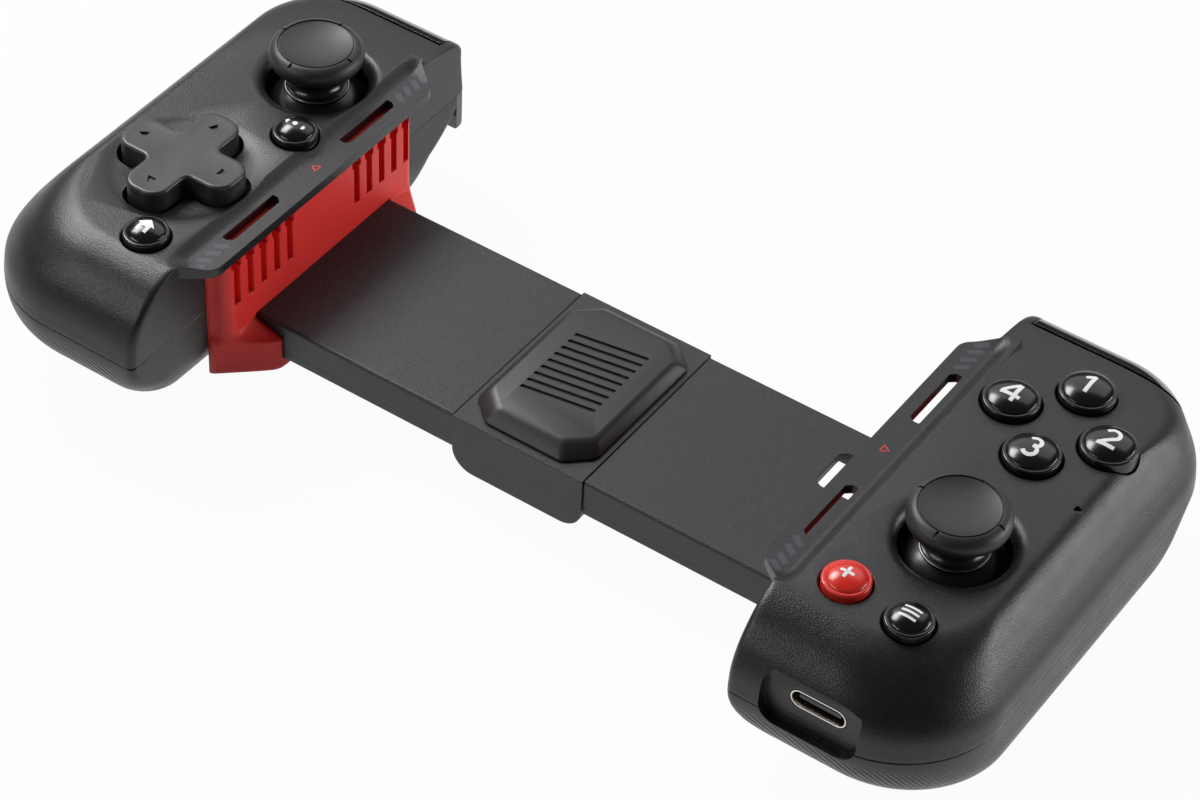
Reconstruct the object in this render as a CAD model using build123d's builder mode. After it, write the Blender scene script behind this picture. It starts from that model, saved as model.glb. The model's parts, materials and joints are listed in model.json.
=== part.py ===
"""Telescoping game controller that clamps a phone between two grips.

Frame: +X runs from the left grip to the right one, +Y away from the player, +Z up.
The origin is the middle of the footprint, on the surface that the grips rest on.
All sizes are in millimetres, with the slide closed and every key at rest.
"""

import os
from math import acos, cos, pi, radians, sin, sqrt, tan

from build123d import *

os.makedirs("parts", exist_ok=True)

LEFT = -1
RIGHT = 1
EPS = 1.0                      # overrun of every through cut

# Grips: both cases share one outline, mirrored
grip_inner_x = 52.3            # inner side wall, next to the phone
grip_outer_x = 86.4
grip_half_length = 41.5
layout_half_length = 41.5      # half length on which the layout of keys and screws was measured
stretch = grip_half_length / layout_half_length
top_z = 29.0                   # flat top of the upper case
split_z = 16.2                 # seam between upper and lower case
case_wall = 1.8
corner_inner = 1.2             # plan radii of the outline
corner_front = 17.0
corner_back = 14.5
shoulder_tighten_share = 0.3   # how fast the corners tighten as the form draws in
belly_tighten_share = 0.95
belly_corner_share = 1.5       # how fast the inner corners round off under the seam
belly_corner_limit = 5.2
shoulder_drop = 12.0           # height of the rounded shoulder
shoulder_front = 11.0          # how far the shoulder draws in
shoulder_outer = 8.0
shoulder_back = 18.0           # the back of the top slopes down slowly
shoulder_front_shares = (0, 0.036, 0.155, 0.345, 0.56, 0.8, 1)
shoulder_outer_shares = (0, 0.05, 0.24, 0.46, 0.65, 0.83, 1)
shoulder_back_shares = (0, 0.017, 0.028, 0.045, 0.23, 0.67, 1)
form_angles = (0, 15, 30, 45, 60, 75, 90)
belly_front = 22.5             # how far the belly draws in, and from what height
belly_front_rise = 16.2
belly_outer = 10.0
belly_outer_rise = 11.2
belly_back = 14.5              # the back wall slants in under the trigger
belly_back_shares = (0, 0.2, 0.41, 0.6, 0.79, 0.93, 1)
belly_inner_front = 11.0
belly_inner_back = 5.0
belly_inner_rise = 10.0


def laid(x, y):
    """Place on a grip, which keeps its share of the grip's length."""
    return (x, y * stretch)


# Screw bosses of the cases
boss_places = (laid(56.9, 29.0), laid(81.0, -4.0), laid(57.3, -34.0), laid(78.5, -30.0))
boss_radius = 2.5
boss_head_radius = 3.3
screw_shank_radius = 0.95
screw_clearance = 0.1
screw_head_radius = 1.9
screw_head_height = 1.4
screw_seat_z = 9.0
screw_length = 14.0
screw_slot_width = 0.5
screw_slot_depth = 0.5

# Ledge over the phone, with its two light windows
ledge_edge_x = 48.0
ledge_half = 27.0
ledge_root_half = 31.0
ledge_top_z = 28.0
ledge_thickness = 1.6
ledge_root_depth = 1.5
valley_x = 53.2
valley_rise_x = 55.2
valley_half = 29.0
valley_rise_half = 30.5
window_inner_x = 50.2
window_middle_y = 14.2
window_length = 12.0
window_chamfer = 0.8

# Circuit boards, clamped between the bosses
board_inset = 4.0
board_thickness = 1.2
board_corner = 12.0
board_boss_gap = 0.4

# Thumbsticks
left_stick_place = laid(63.5, 17.4)
right_stick_place = laid(68.4, -9.2)
stick_well_radius = 8.0
stick_flare = 2.0
stick_pivot_z = 18.3
dome_radius = 10.0
dome_wall = 1.0
dome_edge_angle = 72.0
dome_room = 0.3
dome_room_top_z = 23.5
ring_radius = 4.95
ring_top_z = 27.6
neck_radius = 3.7
neck_foot_z = 29.4
cap_radius = 7.5
cap_middle_z = 33.5
cap_rim_radius = 1.9
cap_groove_radius = 6.0
cap_groove_width = 0.35
cap_dish_z = 34.9
cap_dish_depth = 0.5
cap_notch_length = 1.1
cap_notch_width = 0.5
cap_notch_depth = 0.6
stem_radius = 1.5
stem_top_z = 31.0
stem_gap = 0.08
socket_depth_gap = 0.8
housing_half = 5.9
housing_wall = 1.2
housing_floor_z = 10.0
housing_top_z = 19.7
housing_flange = 0.7
housing_flange_height = 0.5
bow_half = 4.3
bow_wall = 1.2
bow_half_height = 1.1
trunnion_radius = 0.6
trunnion_gap = 0.05
hub_radius = 2.1

# Direction pad
dpad_place = laid(66.0, -12.1)
dish_radius = 12.0
dish_depth = 0.6
dpad_reach = 10.6
dpad_arm_width = 7.4
dpad_arm_corner = 3.5
dpad_inner_fillet = 0.9
dpad_top_z = 31.8
dpad_bottom_z = 25.0
dpad_edge = 0.35
dpad_gap = 0.75
dpad_mark_size = 1.1
dpad_mark_place = 7.4
dpad_mark_depth = 0.3
dpad_pivot_z = 22.8
dpad_ring_half = 3.6
dpad_ring_wall = 1.0
dpad_ring_half_height = 0.9
dpad_hub_radius = 1.7
dpad_stem_radius = 1.3
dpad_base_half = 5.4
dpad_base_height = 0.8
dpad_ear_width = 3.0
dpad_ear_wall = 1.2

# Round keys
key_top_height = 2.3           # above the top of the case
key_collar_height = 1.1
key_collar_step = 0.45
key_gap = 0.2
key_skirt = 0.6                # flange that keeps the key in
key_skirt_height = 0.8
key_bottom_z = 25.2
key_travel = 1.0
key_seat_gap = 0.3
small_key_radius = 3.55
face_key_radius = 4.3
home_place = laid(60.3, -27.7)
view_place = laid(57.3, 4.1)
link_place = laid(60.7, -25.5)
menu_place = laid(71.5, -26.8)
face_middle = laid(68.7, 19.0)
face_spread = 8.0
mat_thickness = 0.6
mat_inset = 6.5
mat_corner = 9.0
mat_post_radius = 2.0
mat_post_gap = 1.15
mat_window_gap = 0.6
dpad_post_place = 7.6
dpad_post_radius = 1.4
dpad_post_gap = 1.0

# Charging socket and its recess, on the front of the right grip
port_x = 66.1
port_z = 19.8
port_width = 8.94
port_height = 3.26
port_shell = 0.3
port_length = 7.3
port_tongue_width = 6.69
port_tongue_height = 0.7
port_tongue_setback = 0.6
port_back_wall = 1.5
port_foot_width = 7.0
port_clearance = 0.1
recess_x = 65.4
recess_z = 18.9
recess_width = 15.4
recess_height = 9.4
recess_corner = 3.0
recess_depth = 1.7
recess_wall = 1.3

# Status light
light_place = laid(79.1, 5.9)
light_radius = 0.5
light_gap = 0.05
light_sink = 0.55

# Bumpers and triggers on the far side
bumper_depth = 4.3
bumper_gap = 0.3
bumper_travel = 0.5
bumper_travel_gap = 0.15
bumper_inner_x = 54.2
bumper_outer_x = 79.5
bumper_bottom_z = 17.6
bulkhead_wall = 1.4
trigger_inner_x = 52.7
trigger_outer_x = 78.6
trigger_bottom_z = 9.0
trigger_top_gap = 0.3
trigger_skin = 1.8
trigger_cheek = 1.8            # wall left beside the pocket, under the paddle
trigger_back_gap = 0.5
trigger_pocket_depth = 5.7
trigger_pivot_depth = 3.5
trigger_pivot_z = 13.6
trigger_pin_radius = 0.75
trigger_pin_gap = 0.05
trigger_barrel_radius = 2.1
trigger_barrel_ends = (56.9, 66.4)
trigger_gap = 0.3
trigger_floor_gap = 0.7        # its lower edge dips as it is pulled
ear_radius = 1.35
ear_width = 1.6
ear_places = (55.0, 71.0)
trigger_spring_radius = 1.3
trigger_spring_wall = 0.35
trigger_spring_ends = (66.7, 70.7)

# Battery in the left grip
battery_x = 58.4
battery_width = 18.6
battery_front_y = -24.0 * stretch
battery_length = 32.0 * stretch
battery_height = 5.0
battery_z = 4.3
battery_corner = 1.5
rib_width = 1.2
rib_gap = 0.1
rib_places = (-17.0 * stretch, 1.0 * stretch)

# Cradle at each end of the phone
cradle_face_x = 48.8
cradle_half = 23.4
cradle_top_z = 26.2
cradle_foot_z = 3.2
cradle_ledge_z = 10.5
cradle_toe_x = 43.5
cradle_toe_half = 17.6
cradle_sole_half = 15.3
cradle_root_x = 51.2
cradle_root_half = 24.4
cradle_fillet = 0.9
cradle_tongue_half = 18.0
cradle_tongue_height = 4.0
cradle_tongue_reach = 2.4
cradle_gap = 0.1
pocket_floor_x = 51.3
slot_pitch = 3.15
slot_first_y = 8.3
slot_count = 5
slot_width = 1.35
slot_height = 7.2
slot_top_z = 24.0
slot_depth = 2.4
slot_notch_depth = 1.0
slot_notch_width = 2.1
right_wall_top_z = 20.0
right_wall_half = 21.0
plug_notch_half = 6.5
plug_notch_y = 5.0

# Sliding plates
plate_half_width = 16.75
plate_thickness = 6.4
plate_top_z = 12.0
plate_edge = 0.5
plate_wall = 1.4
plate_joint_z = 7.1
slide_gap = 0.15
charge_hole_x = (38.6, 46.4)
charge_hole_y = (3.4, 11.6)
charge_hole_corner = 1.6
lead_room_x = (35.2, 46.4)       # wider room under the thin top skin
lead_room_y = (3.4, 15.2)
lead_skin = 1.3
plate_screw_radius = 0.8
plate_screw_head_radius = 1.5
plate_screw_head_height = 0.9
plate_screw_length = 4.0
plate_screw_places = (28.5, 32.0)

# Middle block of the bridge
block_half_length = 11.7
block_half_width = 17.0
block_top_z = 12.1
block_bottom_z = 1.9
block_corner = 3.8
block_edge = 0.4
block_wall = 1.7
block_floor = 2.0
cap_thickness = 1.2
cap_gap = 0.1
well_half_width = 12.8
cap_half_width = 15.0
cap_half_length = 9.7
cap_corner = 4.0
cap_screw_x = 5.4
cap_screw_y = 13.7
cap_screw_radius = 0.6
cap_screw_head_radius = 1.1
cap_screw_head_height = 0.7
cap_screw_length = 4.0

# Pad that the phone's back lies on
pad_half_length = 10.8
pad_half_width = 15.6
pad_corner_x = 4.0
pad_corner_y = 3.6
pad_height = 2.4
pad_bevel = 1.3
pad_groove_width = 0.7
pad_groove_pitch = 1.7
pad_groove_depth = 0.35
pad_groove_count = 9
pad_groove_half = 9.0
pad_groove_step = 0.45

# Rack and pinion that keep the block in the middle
gear_module = 1.0
gear_teeth = 16
gear_addendum = 0.8
gear_dedendum = 1.05
gear_backlash = 0.16
pressure_angle = 20.0
gear_pin_radius = 1.5
gear_pin_gap = 0.05
gear_pin_foot = 1.2
gear_boss_radius = 3.2
gear_seat_gap = 0.15
flank_steps = 4
arm_bottom_z = 7.35
arm_thickness = 2.8
arm_back_y = 12.4
arm_gap = 0.25
arm_home_end = 34.4
arm_far_end = 43.0
slide_travel = 36.0
rack_spare_teeth = 2

# Return springs inside the plates
spring_y = 3.0
spring_radius = 1.45
spring_wall = 0.4
spring_peg_radius = 0.85
spring_peg_length = 2.0
spring_far_x = 43.0
spring_seat_gap = 0.1

# Worked-out sizes
recess_floor_y = recess_depth - grip_half_length
bumper_start_y = grip_half_length - bumper_depth
trigger_pocket_y = grip_half_length - trigger_pocket_depth
trigger_pivot_y = grip_half_length - trigger_pivot_depth
ceiling_z = top_z - case_wall
board_z = split_z
board_top_z = board_z + board_thickness
arm_top_z = arm_bottom_z + arm_thickness
plate_bottom_z = plate_top_z - plate_thickness
plate_start_x = block_half_length + slide_gap
pitch_radius = gear_module * gear_teeth / 2
tooth_pitch = pi * gear_module
outer_radius = pitch_radius + gear_addendum * gear_module
root_radius = pitch_radius - gear_dedendum * gear_module
arm_tip_y = pitch_radius - gear_addendum * gear_module
arm_root_y = pitch_radius + gear_dedendum * gear_module
cap_bottom_z = block_top_z - cap_thickness
face_places = (
    (face_middle[0], face_middle[1] + face_spread),
    (face_middle[0] + face_spread, face_middle[1]),
    (face_middle[0], face_middle[1] - face_spread),
    (face_middle[0] - face_spread, face_middle[1]),
)


def case_outline(side, height, skin, tighten, front, outer, back, inner_front=0.0, inner_back=0.0,
                 near_corner=corner_inner):
    """Plan outline of a grip at one height, drawn in by the amounts and by the skin."""
    front_x = side * (grip_inner_x + inner_front + skin)
    back_x = side * (grip_inner_x + inner_back + skin)
    far_x = side * (grip_outer_x - outer - skin)
    front_y = front + skin - grip_half_length
    back_y = grip_half_length - back - skin
    tighter = skin + tighten * outer
    with BuildSketch(Plane.XY.offset(height)) as outline:
        with BuildLine():
            FilletPolyline(
                (front_x, front_y), (far_x, front_y), (far_x, back_y), (back_x, back_y),
                radius=[
                    near_corner,
                    corner_front - tighter,
                    corner_back - tighter,
                    near_corner,
                ],
                close=True,
            )
        make_face()
    return outline.sketch


def upper_form(side, skin=0.0, mode=Mode.ADD):
    """Upper half of a grip: a rounded shoulder lofted to the flat top."""
    middle_z = top_z - shoulder_drop
    levels = [case_outline(side, split_z, skin, shoulder_tighten_share, 0, 0, 0)]
    for angle, front, outer, back in zip(
        form_angles, shoulder_front_shares, shoulder_outer_shares, shoulder_back_shares
    ):
        levels.append(case_outline(
            side,
            middle_z + (shoulder_drop - skin) * sin(radians(angle)),
            skin,
            shoulder_tighten_share,
            shoulder_front * front,
            shoulder_outer * outer,
            shoulder_back * back,
        ))
    loft(levels, ruled=True, mode=mode)


def belly(height, rise, reach, skin):
    """How far a quarter-ellipse belly has drawn in at a height."""
    share = max(0.0, 1 - (height - skin) / (rise - skin))
    return reach * (1 - sqrt(1 - share ** 2))


def lower_form(side, skin=0.0, mode=Mode.ADD):
    """Lower half of a grip: an elliptical belly lofted to the flat foot."""
    levels = []
    for angle, back_share in zip(form_angles, belly_back_shares):
        height = skin + (belly_front_rise - skin) * (1 - sin(radians(angle)))
        front = belly(height, belly_front_rise, belly_front, skin)
        levels.append(case_outline(
            side, height, skin, belly_tighten_share,
            front,
            belly(height, belly_outer_rise, belly_outer, skin),
            belly_back * back_share,
            belly(height, belly_inner_rise, belly_inner_front, skin),
            belly(height, belly_inner_rise, belly_inner_back, skin),
            max(corner_inner, min(corner_inner + belly_corner_share * front, belly_corner_limit) - skin),
        ))
    loft(levels, ruled=True, mode=mode)


def block(low, high, mode=Mode.ADD):
    """Box between two corners, in the part being built."""
    with BuildSketch(Plane.XY.offset(low[2])) as base:
        with Locations(((low[0] + high[0]) / 2, (low[1] + high[1]) / 2)):
            Rectangle(abs(high[0] - low[0]), abs(high[1] - low[1]))
    extrude(base.sketch, amount=high[2] - low[2], mode=mode)


def disc(place, radius, low_z, high_z, mode=Mode.ADD):
    """Upright cylinder between two heights."""
    with BuildSketch(Plane.XY.offset(low_z)) as base:
        with Locations(place):
            Circle(radius)
    extrude(base.sketch, amount=high_z - low_z, mode=mode)


def rod(y, z, radius, start_x, end_x, mode=Mode.ADD):
    """Cylinder along X."""
    with BuildSketch(Plane.YZ.offset(min(start_x, end_x))) as base:
        with Locations((y, z)):
            Circle(radius)
    extrude(base.sketch, amount=abs(end_x - start_x), mode=mode)


def axial_radius(reach, rise):
    """Radius of an arc that meets the axis squarely."""
    return (reach ** 2 + rise ** 2) / (2 * rise)


def mirrored(side, places):
    return [(side * x, y) for x, y in places]


def save(part, name):
    part.label = name
    export_step(part, f"parts/{name}.step")


def dpad_shape(grow=0.0):
    """Cross with rounded arm ends and filleted inner corners."""
    reach = 2 * (dpad_reach + grow)
    width = dpad_arm_width + 2 * grow
    RectangleRounded(reach, width, dpad_arm_corner + grow)
    RectangleRounded(width, reach, dpad_arm_corner + grow)


# Upper cases
well_table = {
    LEFT: {"stick": left_stick_place, "small": (home_place, view_place), "face": ()},
    RIGHT: {"stick": right_stick_place, "small": (link_place, menu_place), "face": face_places},
}


def cut_recess(depth_start, mode=Mode.SUBTRACT, grow=0.0):
    """Rounded recess around the charging socket, cut from the front."""
    with BuildSketch(Plane.XZ.offset(-depth_start)) as base:
        with Locations((recess_x, recess_z)):
            RectangleRounded(recess_width + 2 * grow, recess_height + 2 * grow, recess_corner + grow)
    extrude(base.sketch, amount=grip_half_length, mode=mode)


def upper_cavity(side):
    """Hollow of an upper case, with its bosses and the bulkhead behind the bumper left out."""
    with BuildPart() as hollow:
        upper_form(side, case_wall)
        with BuildSketch(Plane.XY.offset(split_z - EPS)):
            with Locations(mirrored(side, boss_places)):
                Circle(boss_radius)
        extrude(amount=top_z, mode=Mode.SUBTRACT)
        block(
            (side * grip_inner_x, bumper_start_y - bumper_travel - bumper_travel_gap - bulkhead_wall, split_z - EPS),
            (side * grip_outer_x, grip_half_length, top_z),
            mode=Mode.SUBTRACT,
        )
        if side == RIGHT:
            cut_recess(recess_floor_y + recess_wall, grow=recess_wall)
    return hollow.part


def upper_case(side):
    hollow = upper_cavity(side)
    wells = well_table[side]
    with BuildPart() as case:
        upper_form(side)
        with BuildSketch(Plane.XY.offset(ledge_top_z - ledge_thickness)):
            with BuildLine():
                Polyline(
                    (side * (grip_inner_x + ledge_root_depth), -ledge_root_half - ledge_root_depth),
                    (side * ledge_edge_x, -ledge_half),
                    (side * ledge_edge_x, ledge_half),
                    (side * (grip_inner_x + ledge_root_depth), ledge_root_half + ledge_root_depth),
                    close=True,
                )
            make_face()
        extrude(amount=ledge_thickness)
        for height, x, half in (
            (ledge_top_z, valley_x, valley_half),
            (top_z + EPS, valley_rise_x, valley_rise_half),
        ):
            with BuildSketch(Plane.XY.offset(height)):
                with BuildLine():
                    Polyline(
                        (side * (ledge_edge_x - EPS), -half - EPS), (side * x, -half),
                        (side * x, half), (side * (ledge_edge_x - EPS), half + EPS), close=True,
                    )
                make_face()
        loft(ruled=True, mode=Mode.SUBTRACT)
        add(hollow, mode=Mode.SUBTRACT)
        for middle in (-window_middle_y, window_middle_y):
            with BuildSketch(Plane.XY.offset(ledge_top_z - ledge_thickness - EPS)) as opening:
                with Locations((side * (window_inner_x + grip_inner_x) / 2, middle)):
                    Rectangle(grip_inner_x - window_inner_x, window_length)
                chamfer(opening.vertices(), window_chamfer)
            extrude(amount=ledge_thickness + 2 * EPS, mode=Mode.SUBTRACT)
        # Thumbstick well: straight bore with a flared lip
        with BuildSketch(Plane.XZ.offset(-wells["stick"][1])):
            with BuildLine():
                centre_x = side * wells["stick"][0]
                Polyline(
                    (centre_x + stick_well_radius + stick_flare, top_z),
                    (centre_x + stick_well_radius + stick_flare, top_z + EPS),
                    (centre_x, top_z + EPS),
                    (centre_x, ceiling_z - EPS),
                    (centre_x + stick_well_radius, ceiling_z - EPS),
                    (centre_x + stick_well_radius, top_z - stick_flare),
                )
                RadiusArc(
                    (centre_x + stick_well_radius, top_z - stick_flare),
                    (centre_x + stick_well_radius + stick_flare, top_z),
                    stick_flare,
                )
            make_face()
        revolve(axis=Axis((centre_x, wells["stick"][1], 0), (0, 0, 1)), mode=Mode.SUBTRACT)
        for places, radius in ((wells["small"], small_key_radius), (wells["face"], face_key_radius)):
            for place in mirrored(side, places):
                seat_z = key_bottom_z + key_skirt_height + key_seat_gap
                disc(place, radius + key_gap, seat_z - EPS, top_z + EPS, mode=Mode.SUBTRACT)
                disc(place, radius + key_skirt + key_gap, key_bottom_z - key_travel - key_seat_gap, seat_z,
                     mode=Mode.SUBTRACT)
        disc(mirrored(side, [wells["stick"]])[0], dome_radius + dome_room, split_z - EPS, dome_room_top_z,
             mode=Mode.SUBTRACT)
        if side == LEFT:
            with BuildSketch(Plane.XY.offset(ceiling_z - EPS)):
                with Locations((side * dpad_place[0], dpad_place[1])):
                    dpad_shape(dpad_gap)
            extrude(amount=top_z, mode=Mode.SUBTRACT)
            with BuildSketch(Plane.XY.offset(top_z)):
                with Locations((side * dpad_place[0], dpad_place[1])):
                    Circle(dish_radius)
            extrude(amount=-dish_depth, taper=-45, mode=Mode.SUBTRACT)
        if side == RIGHT:
            disc(light_place, light_radius + light_gap, board_top_z, top_z + EPS, mode=Mode.SUBTRACT)
            cut_recess(recess_floor_y)
            with BuildSketch(Plane.XZ.offset(-recess_floor_y - recess_wall - EPS)):
                with Locations((port_x, port_z)):
                    SlotOverall(port_width + 2 * port_clearance, port_height + 2 * port_clearance)
            extrude(amount=recess_wall + 2 * EPS, mode=Mode.SUBTRACT)
        # Bosses stop at the top of the board and take the screws
        with BuildSketch(Plane.XY.offset(split_z - EPS)):
            with Locations(mirrored(side, boss_places)):
                Circle(boss_radius + board_boss_gap)
        extrude(amount=board_thickness + EPS, mode=Mode.SUBTRACT)
        with BuildSketch(Plane.XY.offset(split_z)):
            with Locations(mirrored(side, boss_places)):
                Circle(screw_shank_radius + screw_clearance / 2)
        extrude(amount=screw_seat_z + screw_length + screw_clearance - split_z, mode=Mode.SUBTRACT)
        # Opening for the bumper
        block(
            (side * (bumper_inner_x - bumper_gap), bumper_start_y - bumper_travel - bumper_travel_gap,
             bumper_bottom_z - bumper_gap),
            (side * (bumper_outer_x + bumper_gap), grip_half_length + EPS, top_z + EPS),
            mode=Mode.SUBTRACT,
        )
        # Slot for the cradle's tongue
        block(
            (side * (grip_inner_x - EPS), -cradle_tongue_half - cradle_gap, split_z - EPS),
            (side * (grip_inner_x + cradle_tongue_reach + cradle_gap), cradle_tongue_half + cradle_gap,
             split_z + cradle_tongue_height / 2 + cradle_gap),
            mode=Mode.SUBTRACT,
        )
    return case.part


def lower_case(side):
    pocket_low = (side * (grip_inner_x + trigger_cheek), trigger_pocket_y, trigger_bottom_z - trigger_floor_gap)
    paddle_room = (side * (grip_inner_x - EPS), grip_half_length - trigger_skin - trigger_back_gap,
                   trigger_bottom_z - trigger_floor_gap)
    pocket_high = (side * (trigger_outer_x + trigger_gap), grip_half_length + EPS, split_z + EPS)
    with BuildPart() as hollow:
        lower_form(side, case_wall)
        with BuildSketch(Plane.XY):
            with Locations(mirrored(side, boss_places)):
                Circle(boss_head_radius)
        extrude(amount=split_z + EPS, mode=Mode.SUBTRACT)
        block(
            (side * grip_inner_x, trigger_pocket_y - bulkhead_wall, 0),
            (side * grip_outer_x, grip_half_length, split_z + EPS),
            mode=Mode.SUBTRACT,
        )
        if side == LEFT:
            for rib_y in rib_places:
                block(
                    (side * grip_inner_x, rib_y, 0),
                    (side * grip_outer_x, rib_y + rib_width, battery_z - rib_gap),
                    mode=Mode.SUBTRACT,
                )
        if side == RIGHT:
            cut_recess(recess_floor_y + recess_wall, grow=recess_wall)
    with BuildPart() as case:
        lower_form(side)
        add(hollow.part, mode=Mode.SUBTRACT)
        if side == RIGHT:
            cut_recess(recess_floor_y)
            with BuildSketch(Plane.XZ.offset(-recess_floor_y - recess_wall - EPS)):
                with Locations((port_x, port_z)):
                    SlotOverall(port_width + 2 * port_clearance, port_height + 2 * port_clearance)
            extrude(amount=recess_wall + 2 * EPS, mode=Mode.SUBTRACT)
        block(pocket_low, pocket_high, mode=Mode.SUBTRACT)
        block(paddle_room, pocket_high, mode=Mode.SUBTRACT)
        # Ears for the trigger's pin
        for ear_x in ear_places:
            block(
                (side * ear_x, trigger_pocket_y - bulkhead_wall, trigger_pivot_z - ear_radius),
                (side * (ear_x + ear_width), trigger_pivot_y, trigger_pivot_z + ear_radius),
            )
            rod(trigger_pivot_y, trigger_pivot_z, ear_radius, side * ear_x, side * (ear_x + ear_width))
        rod(
            trigger_pivot_y, trigger_pivot_z, trigger_pin_radius,
            side * (ear_places[0] - EPS), side * (ear_places[1] + ear_width + EPS), mode=Mode.SUBTRACT,
        )
        with BuildSketch(Plane.XY.offset(-EPS)):
            with Locations(mirrored(side, boss_places)):
                Circle(screw_shank_radius + screw_clearance)
        extrude(amount=split_z + 2 * EPS, mode=Mode.SUBTRACT)
        with BuildSketch(Plane.XY.offset(-EPS)):
            with Locations(mirrored(side, boss_places)):
                Circle(screw_head_radius + screw_clearance)
        extrude(amount=screw_seat_z + EPS, mode=Mode.SUBTRACT)
        block(
            (side * (grip_inner_x - EPS), -cradle_tongue_half - cradle_gap,
             split_z - cradle_tongue_height / 2 - cradle_gap),
            (side * (grip_inner_x + cradle_tongue_reach + cradle_gap), cradle_tongue_half + cradle_gap,
             split_z + EPS),
            mode=Mode.SUBTRACT,
        )
    return case.part


def case_screws(side):
    """Four case screws, head down, seated in the lower case."""
    with BuildPart() as screws:
        for place in mirrored(side, boss_places):
            disc(place, screw_head_radius, screw_seat_z - screw_head_height, screw_seat_z)
            disc(place, screw_shank_radius, screw_seat_z, screw_seat_z + screw_length)
            with BuildSketch(Plane.XY.offset(screw_seat_z - screw_head_height)):
                with Locations(place):
                    Rectangle(2 * screw_head_radius, screw_slot_width)
            extrude(amount=screw_slot_depth, mode=Mode.SUBTRACT)
    return screws.part


def bumper(side):
    """Shoulder key: the slice of the upper case behind its front face."""
    with BuildPart() as key:
        upper_form(side)
        block(
            (side * bumper_inner_x, bumper_start_y, bumper_bottom_z),
            (side * bumper_outer_x, grip_half_length + EPS, top_z + EPS),
            mode=Mode.INTERSECT,
        )
    return key.part


def trigger(side):
    """Hinged paddle under the bumper: an upright slice of the outline with a hinge barrel."""
    with BuildPart() as paddle:
        extrude(case_outline(side, trigger_bottom_z, 0, shoulder_tighten_share, 0, 0, 0), amount=split_z)
        extrude(
            case_outline(side, trigger_bottom_z - EPS, trigger_skin, shoulder_tighten_share, 0, 0, 0),
            amount=split_z + EPS, mode=Mode.SUBTRACT,
        )
        block(
            (side * trigger_inner_x, trigger_pivot_y, trigger_bottom_z),
            (side * trigger_outer_x, grip_half_length + EPS, split_z - trigger_top_gap),
            mode=Mode.INTERSECT,
        )
        block(
            (side * (grip_inner_x - EPS), trigger_pivot_y - EPS, 0),
            (side * (grip_inner_x + trigger_cheek + trigger_gap), grip_half_length - trigger_skin, split_z + EPS),
            mode=Mode.SUBTRACT,
        )
        start = side * trigger_barrel_ends[0]
        end = side * trigger_barrel_ends[1]
        rod(trigger_pivot_y, trigger_pivot_z, trigger_barrel_radius, start, end)
        block(
            (start, trigger_pivot_y, trigger_pivot_z - trigger_barrel_radius),
            (end, grip_half_length - trigger_skin / 2, trigger_pivot_z + trigger_barrel_radius / 2),
        )
        rod(trigger_pivot_y, trigger_pivot_z, trigger_pin_radius + trigger_pin_gap, 0, side * grip_outer_x,
            mode=Mode.SUBTRACT)
    return paddle.part


def trigger_pin(side):
    with BuildPart() as pin:
        rod(
            trigger_pivot_y, trigger_pivot_z, trigger_pin_radius,
            side * ear_places[0], side * (ear_places[1] + ear_width),
        )
    return pin.part


def trigger_spring(side):
    """Coil sleeve on the trigger's pin, beside the hinge barrel."""
    start = side * trigger_spring_ends[0]
    end = side * trigger_spring_ends[1]
    with BuildPart() as coil:
        rod(trigger_pivot_y, trigger_pivot_z, trigger_spring_radius, start, end)
        rod(trigger_pivot_y, trigger_pivot_z, trigger_spring_radius - trigger_spring_wall, start, end,
            mode=Mode.SUBTRACT)
    return coil.part


def circuit_board(side):
    """Board that fills the grip, cut away for the thumbstick and the screws."""
    stick = well_table[side]["stick"]
    near_x = grip_inner_x + cradle_tongue_reach + cradle_gap + board_boss_gap
    back_y = bumper_start_y - bumper_travel - bumper_travel_gap - bulkhead_wall - board_boss_gap
    with BuildPart() as board:
        with BuildSketch(Plane.XY.offset(board_z)):
            with BuildLine():
                FilletPolyline(
                    (side * near_x, board_inset - grip_half_length),
                    (side * (grip_outer_x - board_inset), board_inset - grip_half_length),
                    (side * (grip_outer_x - board_inset), back_y),
                    (side * near_x, back_y),
                    radius=[corner_inner, corner_front - board_inset, board_corner, corner_inner],
                    close=True,
                )
            make_face()
            with Locations((side * stick[0], stick[1])):
                Rectangle(2 * housing_half, 2 * housing_half, mode=Mode.SUBTRACT)
            with Locations(mirrored(side, boss_places)):
                Circle(screw_shank_radius + screw_clearance, mode=Mode.SUBTRACT)
        extrude(amount=board_thickness)
        if side == RIGHT:
            block(
                (recess_x - recess_width / 2 - recess_wall - board_boss_gap, -grip_half_length, board_z - EPS),
                (recess_x + recess_width / 2 + recess_wall + board_boss_gap,
                 recess_floor_y + recess_wall + board_boss_gap, board_top_z + EPS),
                mode=Mode.SUBTRACT,
            )
    return board.part


def stick_housing(side):
    """Open box that carries the gimbal, seated on the board by a flange."""
    place = (side * well_table[side]["stick"][0], well_table[side]["stick"][1])
    with BuildPart() as box:
        with BuildSketch(Plane.XY.offset(housing_floor_z)):
            with Locations(place):
                Rectangle(2 * housing_half, 2 * housing_half)
        extrude(amount=housing_top_z - housing_floor_z)
        with BuildSketch(Plane.XY.offset(board_top_z)):
            with Locations(place):
                Rectangle(2 * (housing_half + housing_flange), 2 * (housing_half + housing_flange))
        extrude(amount=housing_flange_height)
        with BuildSketch(Plane.XY.offset(housing_floor_z + housing_wall)):
            with Locations(place):
                Rectangle(2 * (housing_half - housing_wall), 2 * (housing_half - housing_wall))
        extrude(amount=top_z, mode=Mode.SUBTRACT)
        rod(place[1], stick_pivot_z, trunnion_radius + trunnion_gap,
            place[0] - housing_half - EPS, place[0] + housing_half + EPS, mode=Mode.SUBTRACT)
    return box.part


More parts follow.
